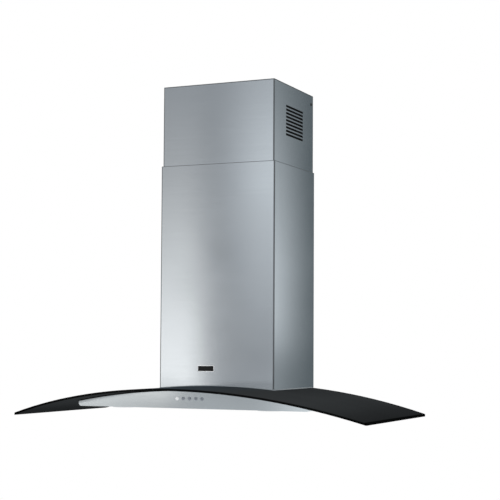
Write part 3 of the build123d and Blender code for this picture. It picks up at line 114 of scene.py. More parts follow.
# What the hood mirrors: each patch is a strength, stops of (metres, value) along the card and up it,
# and sometimes a tint. A value holds from the last stop to the end of the card.
ALL_ALONG = ((-1.0, 1), (1.0, 1))
FRONT_CARD = ((-3.2, -3.6), (5.0, -3.6))
FRONT_HEIGHT = (-1.4, 2.6)
FRONT_PATCHES = {
    "low_left": (
        1.56,
        ((-2.2, 1), (-2.0, 0.72), (-1.9, 0.72), (-1.82, 0.97), (-1.745, 1), (-1.69, 0.4), (-1.63, 0.03),
         (-1.56, 0)),
        ((-1.4, 0.2), (-0.4, 0.22), (-0.18, 0.22), (-0.1, 1), (0.15, 0.84), (0.3, 0.72), (0.6, 0.51),
         (1.05, 0.25), (1.5, 0.05), (2.6, 0)),
        "fff9f3",
    ),
    "high_right": (
        1.0,
        ((-1.62, 0), (-1.55, 0.21), (-1.478, 0.6), (-1.405, 0.9), (-1.33, 1)),
        ((-1.4, 0.05), (0.0, 0.08), (0.12, 0.17), (0.3, 0.32), (0.65, 0.47), (1.0, 0.68), (1.25, 0.46),
         (1.5, 0.24), (2.6, 0.1)),
    ),
    "high": (0.09, ALL_ALONG, ((1.0, 0), (1.45, 1))),
    "low_right": (0.75, ((-1.3, 0), (-0.9, 1), (5.0, 0.8)), ((-1.4, 1), (-0.1, 0.9), (0.2, 0))),
    "fascia": (
        0.33,
        ((-3.2, 0.36), (-2.1, 0.43), (-1.95, 0.24), (-1.8, 0.02), (-1.68, 0.22), (-1.57, 1), (-1.4, 0.78),
         (-1.29, 0.52), (-1.18, 0), (-1.07, 0.62), (-0.97, 0.5), (-0.8, 0)),
        ((-0.15, 1), (-0.09, 0.3), (-0.02, 0)),
    ),
    "above": (0.35, ALL_ALONG, ((1.65, 0), (2.6, 1))),
    "even": (0.24, ALL_ALONG, ALL_ALONG),
    "beyond": (0.4, ((-0.9, 0), (-0.3, 1), (1.0, 0.8), (5.0, 0.6)), ((-1.4, 0.2), (0.3, 0.5), (1.5, 1))),
}
WALL_CARD = ((-2.5, 0.9), (2.5, 0.9))
WALL_HEIGHT = (-0.8, 2.2)
WALL_PATCHES = {
    "beside": (
        0.8,
        ((-0.65, 1), (-0.6, 0.5), (-0.51, 0), (0.51, 0), (0.6, 0.5), (0.65, 1)),
        ((-0.8, 0.2), (0.0, 0.33), (0.05, 0.43), (0.12, 0.71), (0.2, 0.85), (0.35, 0.88), (0.5, 0.74),
         (0.7, 0.55), (0.97, 0.3), (2.2, 0.25)),
    ),
    "window": (0.75, ((-0.48, 0), (-0.25, 1), (0.25, 1), (0.48, 0)), ((-0.8, 0.4), (0.2, 1))),
    "foot": (0.7, ALL_ALONG, ((-0.8, 1), (-0.2, 0))),
}
SIDE_PATCHES = {
    "window": (
        0.75,
        ((-3.6, 0), (-1.0, 0), (-0.3, 0.75), (0.3, 1), (1.2, 0.6), (3.0, 0.3)),
        ((-1.4, 0.45), (0.2, 0.75), (0.9, 1), (2.6, 0.5)),
    ),
}


# ==================== colour and nodes
def linear(code):
    """sRGB hex such as "c8ccd0" to linear RGB, by the sRGB transfer curve."""
    channels = [int(code[i:i + 2], 16) / 255 for i in (0, 2, 4)]
    return tuple(c / 12.92 if c <= 0.04045 else ((c + 0.055) / 1.055) ** 2.4 for c in channels)


def wire(tree, source, socket):
    """Links a source to a socket; a node stands for its first output in use."""
    if isinstance(source, bpy.types.Node):
        source = next(output for output in source.outputs if output.enabled)
    tree.links.new(source, socket)


def node(tree, kind, settings=None, values=None, links=None, stops=()):
    """Adds a node: settings are its own fields, values its socket values, links its inputs' sources,
    and stops the places of a colour ramp with their linear colours or grey values."""
    made = tree.nodes.new("ShaderNode" + kind)
    for field, value in (settings or {}).items():
        setattr(made, field, value)
    for socket, value in (values or {}).items():
        made.inputs[socket].default_value = value
    for socket, source in (links or {}).items():
        wire(tree, source, made.inputs[socket])
    if stops:
        elements = made.color_ramp.elements
        while len(elements) < len(stops):
            elements.new(0.5)
        for element, (place, colour) in zip(elements, stops):
            element.position = place
            element.color = (*(colour if isinstance(colour, tuple) else (colour,) * 3), 1)
    return made


def scaled(colour, factor):
    """A linear colour made lighter or darker."""
    return tuple(min(1.0, c * factor) for c in colour)


def tones(base, *steps):
    """Ramp stops in shades of one colour, from pairs of (place, factor)."""
    return [(place, scaled(base, factor)) for place, factor in steps]


def pattern(tree, kind, size, stretch=(1, 1, 1), **values):
    """A texture on Object coordinates with the real size of one of its cells or grains, in metres, and
    a stretch of the coordinates along each axis where it runs one way."""
    place = node(tree, "TexCoord").outputs["Object"]
    place = node(tree, "Mapping", values={"Scale": stretch}, links={"Vector": place})
    return node(tree, kind, values={"Scale": 1 / size, **values}, links={"Vector": place})


def new_material(name, base, **sockets):
    """A material with a Principled shader: base colour and the shader's own socket values."""
    made = bpy.data.materials.new(name)
    made.use_nodes = True
    made.diffuse_color = (*base, 1)
    shader = made.node_tree.nodes["Principled BSDF"]
    shader.inputs["Base Color"].default_value = (*base, 1)
    for socket, value in sockets.items():
        shader.inputs[socket.replace("_", " ")].default_value = value
    return made, made.node_tree


def varied(tree, colour=None, dull=None, relief=None):
    """Lets patterns set the shader. Colour and dull, for roughness, are a source, or a source with ramp
    stops; relief is a source, its strength and its full height in metres."""
    shader = tree.nodes["Principled BSDF"]
    for socket, source in (("Base Color", colour), ("Roughness", dull)):
        if isinstance(source, tuple):
            source = node(tree, "ValToRGB", links={"Fac": source[0]}, stops=source[1])
        if source:
            wire(tree, source, shader.inputs[socket])
    if relief:
        source, strength, height = relief
        raised = node(tree, "Bump", values={"Strength": strength, "Distance": height},
                      links={"Height": source})
        wire(tree, raised, shader.inputs["Normal"])


def worked_out(tree, *steps):
    """A mask on Object coordinates, one operation a step: (result, operation, inputs). An input is a
    number, or the name of X, Y, Z or an earlier result; the last result is the mask."""
    split = node(tree, "SeparateXYZ", links={"Vector": node(tree, "TexCoord").outputs["Object"]})
    known = dict(split.outputs.items())
    for result, operation, *inputs in steps:
        values = {i: value for i, value in enumerate(inputs) if not isinstance(value, str)}
        links = {i: known[name] for i, name in enumerate(inputs) if isinstance(name, str)}
        known[result] = node(tree, "Math", {"operation": operation}, values, links)
    return known[result]


# ==================== finishes
def brushed_stainless(base, sizes, cover=None):
    """Stainless sheet, brushed with a belt: fine level lines that spread a reflection up and down.

    A chimney cover has a duller inner side, as rolled, that is also painted darker for the shade inside
    the chimney, and painted shade lines along its bends, its top edge and its wall edges. The upper
    cover is also painted darker round its vent slots."""
    made, tree = new_material("brushed_stainless_" + (cover or "sheet"), base, Metallic=1.0, Roughness=0.2)
    fine = pattern(tree, "TexNoise", sizes.brush_line, (1 / 90, 1 / 90, 1), Roughness=0.6)
    streak = pattern(tree, "TexNoise", 3.846 * MM, (3 / 130, 3 / 130, 1), Detail=3.0)
    cloud = pattern(tree, "TexNoise", 200 * MM, (1, 1, 1.6))
    lines = node(tree, "Math", {"operation": "MULTIPLY_ADD"}, {1: 0.5}, {0: fine, 2: streak})
    colour = node(tree, "ValToRGB", links={"Fac": lines}, stops=tones(base, (0.45, 0.985), (1.0, 1.015)))
    dull = node(tree, "ValToRGB", links={"Fac": cloud}, stops=[(0.3, 0.105), (0.7, 0.135)])
    masks = []  # (mask, tone of the steel that paints shade there, roughness)
    if cover:
        low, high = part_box(cover)
        upper = cover == "upper_chimney"
        # painted shade lines along the bends, the top edge and the wall edges
        masks.append((painted_edge_shade(tree, low, high, sizes.edge_shade_width, 0.8 if upper else 0.45), 0.25, 0.45))
        # inner faces: duller as rolled, and painted darker for the shade inside the chimney
        masks.append((inner_side(tree, middle("lower_chimney")), 0.55, 0.5))
        if upper:
            # painted shade round each vent slot
            masks.append((painted_slot_shade(tree, high.z, sizes.slot_shade_width), 0.12, 0.6))
    for mask, tone, rough in masks:
        colour, dull = (
            node(tree, "Mix", {"data_type": "RGBA"}, {7: (*value, 1)}, {"Factor": mask, 6: source}).outputs[2]
            for source, value in ((colour, scaled(base, tone)), (dull, (rough,) * 3))
        )
    varied(tree, colour, dull, (fine, 0.35, sizes.brush_depth))
    return made


def painted_edge_shade(tree, low, high, width, share):
    """One along the front bends, the top edge and the wall edges of a cover's box, and nought between.
    This is a painted shade line for the shade at the bends, at the seam between the covers and
    along the wall.

    The cut edges take a share of the width of the bends."""
    half, cut = (high.x - low.x) / 2, share * width
    return worked_out(
        tree,
        ("across", "SUBTRACT", "X", (low.x + high.x) / 2),
        ("across", "ABSOLUTE", "across"),
        ("side", "GREATER_THAN", "across", half - width),
        ("front", "LESS_THAN", "Y", low.y + width),
        ("bend", "MULTIPLY", "side", "front"),
        ("side", "GREATER_THAN", "across", half - cut),
        ("back", "GREATER_THAN", "Y", high.y - cut),
        ("wall", "MULTIPLY", "side", "back"),
        ("top", "GREATER_THAN", "Z", high.z - cut),
        ("edges", "MAXIMUM", "bend", "wall"),
        ("edges", "MAXIMUM", "edges", "top"),
    )


def painted_slot_shade(tree, top, rim):
    """One in a ring round each vent slot of a cover's sides: painted shade that makes each slot read
    darker and wider.

    The rows repeat up the side: the height above the middle row, folded about the nearest row, is
    compared with half a slot."""
    return worked_out(
        tree,
        ("rise", "SUBTRACT", "Z", top - SLOT_DROP),
        ("rows", "ABSOLUTE", "rise"),
        ("rows", "LESS_THAN", "rows", SLOT_ROWS / 2 * SLOT_PITCH),
        ("row", "DIVIDE", "rise", SLOT_PITCH),
        ("row", "ADD", "row", SLOT_ROWS / 2),
        ("row", "FRACT", "row"),
        ("fold", "SUBTRACT", "row", 0.5),
        ("fold", "ABSOLUTE", "fold"),
        ("tall", "LESS_THAN", "fold", (SLOT_HEIGHT / 2 + rim) / SLOT_PITCH),
        ("along", "ADD", "Y", SLOT_BACK),
        ("along", "ABSOLUTE", "along"),
        ("long", "LESS_THAN", "along", SLOT_LENGTH / 2 + rim),
        ("slot", "MULTIPLY", "tall", "long"),
        ("slot", "MULTIPLY", "slot", "rows"),
    )


def inner_side(tree, centre):
    """One where a face looks towards an upright axis through centre, and nought where it looks away."""
    place, normal = node(tree, "TexCoord").outputs["Object"], node(tree, "NewGeometry").outputs["Normal"]
    away = node(tree, "VectorMath", {"operation": "SUBTRACT"}, {1: (centre.x, centre.y, 0)}, {0: place})
    flat = node(tree, "VectorMath", {"operation": "MULTIPLY"}, {1: (1, 1, 0)}, {0: away})
    facing = node(tree, "VectorMath", {"operation": "DOT_PRODUCT"}, links={0: flat, 1: normal})
    return node(tree, "Math", {"operation": "LESS_THAN"}, {1: -0.5 * MM}, {0: facing})


def smoked_glass(base, rim_width):
    """Toughened float glass, tinted through: near black from above, with a ground border and edge that
    are darker still. It has painted light that makes its crown lighter and bluer, and painted shade
    that darkens it towards the ends of its wings. Its mirror image in the steel keeps the full gloss."""
    made, tree = new_material("smoked_toughened_glass", base, Roughness=0.06, Specular_IOR_Level=0.3)
    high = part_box("glass_canopy")[1]
    level = node(tree, "SeparateXYZ", links={"Vector": node(tree, "NewGeometry").outputs["Normal"]})
    level = node(tree, "Math", {"operation": "ABSOLUTE"}, links={0: level.outputs["Z"]})
    ground = node(tree, "ValToRGB", links={"Fac": level}, stops=[(0.3, 0.06), (0.8, 1.0)])
    slant = node(tree, "LayerWeight", values={"Blend": 0.5}).outputs["Facing"]
    gloss = node(tree, "ValToRGB", links={"Fac": slant}, stops=[(0.3, 0.4), (0.72, 0.0)])
    gloss = node(tree, "Math", {"operation": "MULTIPLY"}, links={0: gloss, 1: ground})
    mirrored = node(tree, "LightPath").outputs["Is Glossy Ray"]
    gloss = node(tree, "Math", {"operation": "MULTIPLY_ADD"}, {1: 0.5}, {0: mirrored, 2: gloss})
    wire(tree, gloss, tree.nodes["Principled BSDF"].inputs["Specular IOR Level"])

    place = node(tree, "SeparateXYZ", links={"Vector": node(tree, "TexCoord").outputs["Object"]})
    share = node(tree, "Math", {"operation": "ABSOLUTE"}, links={0: place.outputs["X"]})
    share = node(tree, "MapRange", values={"From Max": high.x}, links={"Value": share})
    # painted light and shade along the arch: lighter and bluer at the crown, darker towards the wing ends
    crown = (base[0] * 1.2, base[1] * 1.4, base[2] * 1.6)
    shades = [(0.0, crown), *tones(base, (0.35, 1.12), (0.65, 1.16), (0.8, 0.98), (0.9, 0.72), (1.0, 0.56))]
    colour = node(tree, "ValToRGB", links={"Fac": share}, stops=shades)
    # The side border fades in from 1.35 to 0.67 of its width, which a ramp can just show.
    width = rim_width / high.x
    sides = node(tree, "ValToRGB", links={"Fac": share},
                 stops=[(1 - 1.347 * width, 1.0), (1 - 0.6735 * width, 0.12)])
    back = node(tree, "Math", {"operation": "LESS_THAN"}, {1: high.y - 2 * rim_width},
                {0: place.outputs["Y"]})
    back = node(tree, "ValToRGB", links={"Fac": back}, stops=[(0.0, 0.12), (1.0, 1.0)])
    wave = pattern(tree, "TexNoise", 111.1 * MM, Detail=1.0)
    depth = node(tree, "ValToRGB", links={"Fac": wave}, stops=[(0.3, 0.7), (0.7, 1.0)])
    for shade, factor in ((ground, 1.0), (sides, 1.0), (back, 1.0), (depth, 0.25)):
        colour = node(tree, "Mix", {"data_type": "RGBA", "blend_type": "MULTIPLY"}, {"Factor": factor},
                      {6: colour, 7: shade}).outputs[2]
    varied(tree, colour, relief=(wave, 0.2, 0.05 * MM))
    return made


def galvanised_sheet(base, spangle):
    """Hot-dip galvanised steel: flat zinc crystals, each turned a little from the next."""
    made, tree = new_material("galvanised_sheet", base, Metallic=1.0, Roughness=0.42)
    cells = pattern(tree, "TexVoronoi", spangle)
    shade = node(tree, "SeparateColor", links={"Color": cells.outputs["Color"]}).outputs
    varied(tree, (shade["Red"], tones(base, (0.0, 0.84), (1.0, 1.1))),
           (shade["Green"], [(0.0, 0.34), (1.0, 0.52)]), (cells, 0.15, 0.05 * MM))
    return made


def rolled_aluminium(base):
    """Aluminium as it leaves the rolls: lines 1.1 mm apart along the sheet and a soft grey haze."""
    made, tree = new_material("rolled_aluminium", base, Metallic=1.0, Roughness=0.34)
    lines = pattern(tree, "TexNoise", 1.1111 * MM, (1, 1 / 45, 1))
    haze = pattern(tree, "TexNoise", 33.333 * MM, Detail=3.0)
    varied(tree, (haze, tones(base, (0.3, 0.9), (0.7, 1.06))), (lines, [(0.3, 0.28), (0.7, 0.42)]),
           (lines, 0.25, 0.02 * MM))
    return made


def polished_chrome(base):
    """Nickel and chrome plate on a buffed rim: a mirror with a haze in spots 8 mm across."""
    made, tree = new_material("polished_chrome_plate", base, Metallic=1.0, Roughness=0.08)
    haze = pattern(tree, "TexNoise", 8.333 * MM, Detail=4.0)
    varied(tree, (haze, tones(base, (0.3, 0.95), (0.7, 1.0))), (haze, [(0.35, 0.05), (0.75, 0.13)]))
    return made


def turned_metal(name, base, groove):
    """Metal turned in a lathe: a fine grain of broken rings, drawn groove millimetres apart."""
    made, tree = new_material(name, base, Metallic=1.0, Roughness=0.3)
    grain = pattern(tree, "TexNoise", groove * MM, Detail=3.0, Roughness=0.7)
    varied(tree, (grain, tones(base, (0.3, 0.85), (0.7, 1.08))), (grain, [(0.3, 0.22), (0.7, 0.38)]),
           (grain, 0.3, 0.03 * MM))
    return made


def moulded_plastic(name, base, roughness, grain, depth, spread=0.06, gloss=0.5):
    """Moulded plastic: an even colour, with the spark-eroded grain of its mould in relief."""
    made, tree = new_material(name, base, Roughness=roughness, IOR=1.53, Specular_IOR_Level=gloss)
    erosion = pattern(tree, "TexNoise", grain * MM)
    flow = pattern(tree, "TexNoise", 71.43 * MM)
    varied(tree, (flow, tones(base, (0.3, 1 - spread), (0.7, 1 + spread))),
           (erosion, [(0.3, roughness * 0.85), (0.7, min(1, roughness * 1.15))]), (erosion, 0.4, depth * MM))
    return made


def closed_cell_foam(base):
    """Closed-cell foam strip: matt black with burst bubbles 0.8 mm across."""
    made, tree = new_material("closed_cell_foam", base, Roughness=0.95)
    cells = pattern(tree, "TexVoronoi", 0.8 * MM)
    varied(tree, (cells, tones(base, (0.1, 0.5), (0.6, 1.5))), relief=(cells, 0.6, 0.2 * MM))
    return made


def frosted_glass(base):
    """Acid-frosted pressed glass: white and soft, with a 0.6 mm grain that scatters the lamp."""
    made, tree = new_material("frosted_pressed_glass", base, Roughness=0.35, IOR=1.5,
                              Transmission_Weight=0.35)
    frost = pattern(tree, "TexNoise", 0.6 * MM)
    varied(tree, (frost, tones(base, (0.3, 0.93), (0.7, 1.0))), relief=(frost, 0.3, 0.05 * MM))
    return made


def painted_glow_button(base):
    """White moulded ABS with a painted glow: a faint emission, a little uneven, that makes it brighter."""
    made = moulded_plastic("translucent_white_abs", base, 0.3, 0.4, 0.01, 0.02)
    tree = made.node_tree
    shader = tree.nodes["Principled BSDF"]
    glow = pattern(tree, "TexNoise", 3.333 * MM, Detail=1.0)
    tint = node(tree, "ValToRGB", links={"Fac": glow}, stops=tones(base, (0.3, 0.9), (0.7, 1.0)))
    wire(tree, tint, shader.inputs["Emission Color"])
    # painted glow that brightens the button
    shader.inputs["Emission Strength"].default_value = 0.22
    return made


def circuit_laminate(base):
    """Glass-epoxy board: green solder mask with the copper runs just showing through it."""
    made, tree = new_material("glass_epoxy_board", base, Roughness=0.4, IOR=1.5)
    shades = {"Color1": 0.8, "Color2": 0.9, "Mortar": 1.7}
    runs = pattern(tree, "TexBrick", 8.333 * MM, **{"Mortar Size": 0.06},
                   **{socket: (*scaled(base, tone), 1) for socket, tone in shades.items()})
    varied(tree, runs, relief=(runs.outputs["Fac"], 0.3, 0.04 * MM))
    return made


def middle(name):
    """Centre of a node's box."""
    low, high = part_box(name)
    return (low + high) / 2


def make_finishes(colours, sizes):
    """One material for each slot of the record, under its slot's name, and one for each cover and the
    few pieces whose finish differs from others of their slot."""
    made = {
        "tinted_glass": smoked_glass(colours.glass, sizes.glass_rim),
        "brushed_stainless": brushed_stainless(colours.panel, sizes),
        "lower_chimney": brushed_stainless(colours.steel, sizes, "lower_chimney"),
        "upper_chimney": brushed_stainless(colours.steel, sizes, "upper_chimney"),
        "galvanised": galvanised_sheet(colours.zinc, sizes.spangle),
        "black_foam": closed_cell_foam(colours.foam),
        "aluminium": rolled_aluminium(colours.aluminium),
        "chrome_trim": polished_chrome(colours.chrome),
        "lens_glass": frosted_glass(colours.lens),
        "board": circuit_laminate(colours.board),
        "painted_glow_button": painted_glow_button(colours.white),
    }
    for maker, table in ((moulded_plastic, PLASTICS), (turned_metal, TURNED_METALS)):
        for finish, (name, colour, *surface) in table.items():
            made[finish] = maker(name, getattr(colours, colour), *surface)
    return made


# ==================== surfaces
def grid_faces(rows, columns, close_rows=False, close_columns=False):
    """Quads between neighbours on a grid of points; a closed direction joins its end to its start."""
    row = np.arange(rows if close_rows else rows - 1)
    column = np.arange(columns if close_columns else columns - 1)
    row, column = np.meshgrid(row, column, indexing="ij")
    here, below, beside = row * columns, (row + 1) % rows * columns, (column + 1) % columns
    return np.stack([here + column, here + beside, below + beside, below + column], -1).reshape(-1, 4)


def enclosed(points, faces):
    """Volume inside closed quads by the divergence theorem: positive when they face outwards."""
    a, b, c, d = (points[faces[:, i]] for i in range(4))
    halves = np.einsum("ij,ij->", a, np.cross(b, c)) + np.einsum("ij,ij->", a, np.cross(c, d))
    return halves / 6


def piece(name, surface, body, slot, smooth=True, finish=None):
    """Makes a piece from arrays of points and quads, turned outwards."""
    points, faces = surface
    if enclosed(points - points.mean(0), faces) < 0:
        faces = faces[:, ::-1]
    mesh = bpy.data.meshes.new(name)
    mesh.from_pydata(points.tolist(), [], [list(dict.fromkeys(face)) for face in faces.tolist()])
    return finished(name, mesh, body, finish or slot, smooth)


def finished(name, mesh, body, finish, smooth):
    """Closes a mesh's seams and poles, makes it an object with its finish, and rides it on its body."""
    shape = bmesh.new()
    shape.from_mesh(mesh)
    bmesh.ops.remove_doubles(shape, verts=shape.verts, dist=0.001 * MM)
    shape.to_mesh(mesh)
    shape.free()
    mesh.polygons.foreach_set("use_smooth", [smooth] * len(mesh.polygons))
    mesh.update()
    mesh.materials.append(MATERIALS[finish])
    made = placed(name, mesh)
    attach(made, body)
    return made


def placed(name, data):
    """A new object in the scene, from the data of a mesh, lamp or camera."""
    made = bpy.data.objects.new(name, data)
    bpy.context.scene.collection.objects.link(made)
    return made


def turned(profile, centre, steps):
    """A closed profile of (radius, height) carried round a vertical axis: x = r cos a, y = r sin a, z = h."""
    angle = np.linspace(0, 2 * np.pi, steps, endpoint=False)
    radius, height = profile.T
    x = centre.x + np.outer(np.cos(angle), radius)
    y = centre.y + np.outer(np.sin(angle), radius)
    points = np.stack([x, y, np.broadcast_to(height, x.shape)], -1)
    return points.reshape(-1, 3), grid_faces(steps, len(profile), True, True)


def strands(path, side, rise, width, thickness):
    """Flat strips carried along many paths at once, each a four-cornered section closed at both ends.

    path is (strip, step, 3); a corner is path plus or minus half the width along side and half the
    thickness along rise."""
    corners = np.array([(-1, -1), (1, -1), (1, 1), (-1, 1)]) * 0.5
    offset = corners[:, :1] * width * side[..., None, :] + corners[:, 1:] * thickness * rise
    points = path[:, :, None, :] + offset
    count, steps = path.shape[:2]
    wall = grid_faces(steps, 4, False, True)
    caps = np.array([[3, 2, 1, 0], [4 * steps - 4, 4 * steps - 3, 4 * steps - 2, 4 * steps - 1]])
    one = np.concatenate([wall, caps])
    faces = (one[None] + (np.arange(count) * 4 * steps)[:, None, None]).reshape(-1, 4)
    return points.reshape(-1, 3), faces


def expanded_layer(low, high, height, cell, along, width, thickness):
    """One layer of expanded mesh: strips that wave to and fro and meet their neighbours at each crest.

    Strip k has its middle at (k + 1/2) half cells across. It leaves it by a reach times the cosine of its
    place along, and the sign changes from strip to strip. The reach is a quarter cell less part of a
    strand's width, so that neighbours touch in turn."""
    span, length = high[0] - low[0], high[1] - low[1]
    if along == "x":
        span, length = length, span
    count = int(span / (cell * 0.5))
    pitch = span / count
    waves = int(length / (cell * 1.6))
    t = np.linspace(0, 1, waves * 8 + 1)
    strip = np.arange(count)[:, None]
    sign = np.where(strip % 2, -1.0, 1.0)
    reach = pitch / 2 - width * 0.42
    middle = (strip + 0.5) * pitch + sign * reach * np.cos(2 * np.pi * waves * t)
    slope = -sign * reach * 2 * np.pi * waves * np.sin(2 * np.pi * waves * t) / length
    run = np.broadcast_to(t * length, middle.shape)
    lift = height + 0.25 * thickness * np.cos(2 * np.pi * waves * t) * sign
    norm, level = np.sqrt(1 + slope**2), np.zeros_like(slope)
    if along == "y":
        path = np.stack([low[0] + middle, low[1] + run, lift], -1)
        side = np.stack([1 / norm, -slope / norm, level], -1)
    else:
        path = np.stack([low[0] + run, low[1] + middle, lift], -1)
        side = np.stack([slope / norm, -1 / norm, level], -1)
    return strands(path, side, np.array([0.0, 0.0, 1.0]), width, thickness)


def joined(*parts):
    """Several meshes of points and quads as one."""
    points, faces, start = [], [], 0
    for some_points, some_faces in parts:
        points.append(some_points)
        faces.append(some_faces + start)
        start += len(some_points)
    return np.concatenate(points), np.concatenate(faces)


def framed(low, high, front, band, depth, corner):
    """A rim round an upright plate: a bevelled section carried round a rectangle with round corners.

    The path is the rectangle drawn in by the corner radius plus radius times (cos a, sin a), with a
    turning a quarter at each corner; the section reaches inwards by band and back by depth."""
    quarter = np.linspace(0, np.pi / 2, 6)
    corners = np.array([(high[0], high[1]), (low[0], high[1]), (low[0], low[1]), (high[0], low[1])])
    centres = corners + np.array([(-1, -1), (1, -1), (1, 1), (-1, 1)]) * corner
    angle = quarter[None] + np.arange(4)[:, None] * np.pi / 2
    section = np.array([(0, 0), (0, -0.75), (0.25, -1), (0.75, -1), (1, -0.75), (1, 0)])
    radius = corner - section[:, 0] * band
    x = centres[:, 0, None, None] + np.cos(angle)[..., None] * radius
    z = centres[:, 1, None, None] + np.sin(angle)[..., None] * radius
    y = np.broadcast_to(front + section[:, 1] * depth, x.shape)
    points = np.stack([x, y, z], -1).reshape(-1, 3)
    return points, grid_faces(angle.size, len(section), True, True)


def ribbed_disc(radius, low, high, ribs):
    """Profile of a pressed lamp glass: flat on top, with rings below that swell as the square of a cosine.

    The height under the flat is low plus 0.4 of the thickness times cos(pi n r / R) squared, which
    gives n rings between the axis and the plain edge band."""
    thick = high - low
    r = np.linspace(0, 0.88 * radius, 8 * ribs + 1)
    under = low + 0.4 * thick * np.cos(np.pi * ribs * r / r[-1]) ** 2
    edge = np.array([(radius * 0.93, low), (radius * 0.98, low), (radius, low + 0.2 * thick),
                     (radius, high - 0.2 * thick), (radius * 0.98, high), (0.0, high)])
    return np.concatenate([np.stack([r, under], -1), edge])


def crowned_plate(outer, inward, across, up, cells=12):
    """A plate against a flat side: flat outside, and inside crowned to its full thickness.

    With u and v from -1 to 1 along Y and Z, the inner face stands off the outer one by inward times
    (1 - u^8)(1 - v^8), so both faces meet at the edge. Across and up are (low, high) along Y and Z."""
    share = np.sin(np.linspace(-np.pi / 2, np.pi / 2, cells))
    u, v = np.meshgrid(share, share, indexing="ij")
    y = across[0] + (u + 1) / 2 * (across[1] - across[0])
    z = up[0] + (v + 1) / 2 * (up[1] - up[0])
    flat = np.stack([np.full_like(u, outer), y, z], -1).reshape(-1, 3)
    crown = flat + np.array([1.0, 0.0, 0.0]) * (inward * (1 - u**8) * (1 - v**8)).reshape(-1, 1)
    sheet = grid_faces(cells, cells)
    return joined((flat, sheet), (crown, sheet[:, ::-1]))


def foot_bead(half, front, back, arch, size, steps=40, side_steps=6):
    """A concave bead round the foot of the chimney, on the arched glass.

    The path runs along both sides and the front; each point of the section lies out from the cover by
    a share of the size, and up by another above the glass, whose height there is arch(x)."""
    side_y = np.linspace(back, front, side_steps)
    front_x = np.linspace(-half, half, steps)
    one, middle, none = np.ones(side_steps), np.ones(steps - 2), np.zeros(side_steps - 1)
    x = np.concatenate([-half * one, front_x[1:-1], half * one])
    y = np.concatenate([side_y, front * middle, side_y[::-1]])
    out_x = np.concatenate([-one, 0 * middle, one])
    out_y = np.concatenate([none, np.full(steps, -1.0), none])
    section = np.array([(-0.05, 0.02), (1.0, 0.02), (0.6, 0.16), (0.32, 0.36), (0.12, 0.68), (-0.05, 1.0)])
    across = x[:, None] + out_x[:, None] * section[:, 0] * size
    along = y[:, None] + out_y[:, None] * section[:, 0] * size
    points = np.stack([across, along, arch(across) + section[:, 1] * size], -1)
    count, corners = len(x), len(section)
    end = np.arange(corners)
    last = end + (count - 1) * corners
    wall = grid_faces(count, corners, False, True)
    halves = np.array([(0, 1, 4, 5), (1, 2, 3, 4)])
    return points.reshape(-1, 3), np.concatenate([wall, end[halves][:, ::-1], last[halves]])


# ==================== stage
def graded(tree, source, span, stops):
    """A grey value that follows stops of (metres, value) along one coordinate, over a span of it."""
    low, high = span
    share = node(tree, "MapRange", values={"From Min": low, "From Max": high}, links={"Value": source})
    places = [((place - low) / (high - low), value) for place, value in stops]
    return node(tree, "ValToRGB", links={"Fac": share}, stops=places)


def reflector(name, ends, height, colour, patches):
    """An upright studio card between two places in plan that only reflections see: an even tone and
    soft glowing patches.

    Each patch is the product of its two gradients, and of its tint where it has one. A card that runs
    along Y reads its stops along Y."""
    (x0, y0), (x1, y1) = ends
    z0, z1 = height
    mesh = bpy.data.meshes.new(name)
    mesh.from_pydata([(x0, y0, z0), (x1, y1, z0), (x1, y1, z1), (x0, y0, z1)], [], [(0, 1, 2, 3)])
    made = placed(name, mesh)
    material = bpy.data.materials.new(name)
    material.use_nodes = True
    mesh.materials.append(material)
    tree = material.node_tree
    tree.nodes.clear()
    place = node(tree, "SeparateXYZ", links={"Vector": node(tree, "TexCoord").outputs["Object"]}).outputs
    along, run = (place["Y"], (y0, y1)) if x0 == x1 else (place["X"], (x0, x1))
    total = node(tree, "Emission", values={"Color": (*colour, 1)})
    product = {"data_type": "RGBA", "blend_type": "MULTIPLY"}
    for strength, stops, stops_up, *tint in patches.values():
        patch = node(tree, "Mix", product, {"Factor": 1.0},
                     {6: graded(tree, along, run, stops), 7: graded(tree, place["Z"], height, stops_up)})
        for code in tint:
            patch = node(tree, "Mix", product, {"Factor": 1.0, 7: (*linear(code), 1)}, {6: patch.outputs[2]})
        glow = node(tree, "Emission", values={"Strength": strength}, links={"Color": patch.outputs[2]})
        total = node(tree, "AddShader", links={0: total, 1: glow})
    node(tree, "OutputMaterial", links={"Surface": total})
    for ray in ("camera", "diffuse", "shadow", "transmission"):
        setattr(made, "visible_" + ray, False)


def area_light(name, place, target, side, power):
    """A soft square lamp that faces a target."""
    data = bpy.data.lights.new(name, "AREA")
    data.size = side
    data.energy = power
    made = placed(name, data)
    made.location = place
    made.rotation_euler = (Vector(target) - Vector(place)).to_track_quat("-Z", "Y").to_euler()
    return made


def set_world():
    """A white studio: camera, mirror and glass rays see white, and the soft fill light is weaker."""
    world = bpy.data.worlds.new("studio")
    bpy.context.scene.world = world
    world.use_nodes = True
    tree = world.node_tree
    tree.nodes.clear()
    ray = node(tree, "LightPath").outputs
    seen = ray["Is Camera Ray"]
    for other in ("Is Glossy Ray", "Is Transmission Ray"):
        seen = node(tree, "Math", {"operation": "MAXIMUM"}, links={0: seen, 1: ray[other]})
    fill = node(tree, "Background", values={"Color": (*linear("f8f9fa"), 1), "Strength": 0.95})
    white = node(tree, "Background", values={"Color": (1, 1, 1, 1), "Strength": 1.0})
    sky = node(tree, "MixShader", links={0: seen, 1: fill, 2: white})
    node(tree, "OutputWorld", links={"Surface": sky})


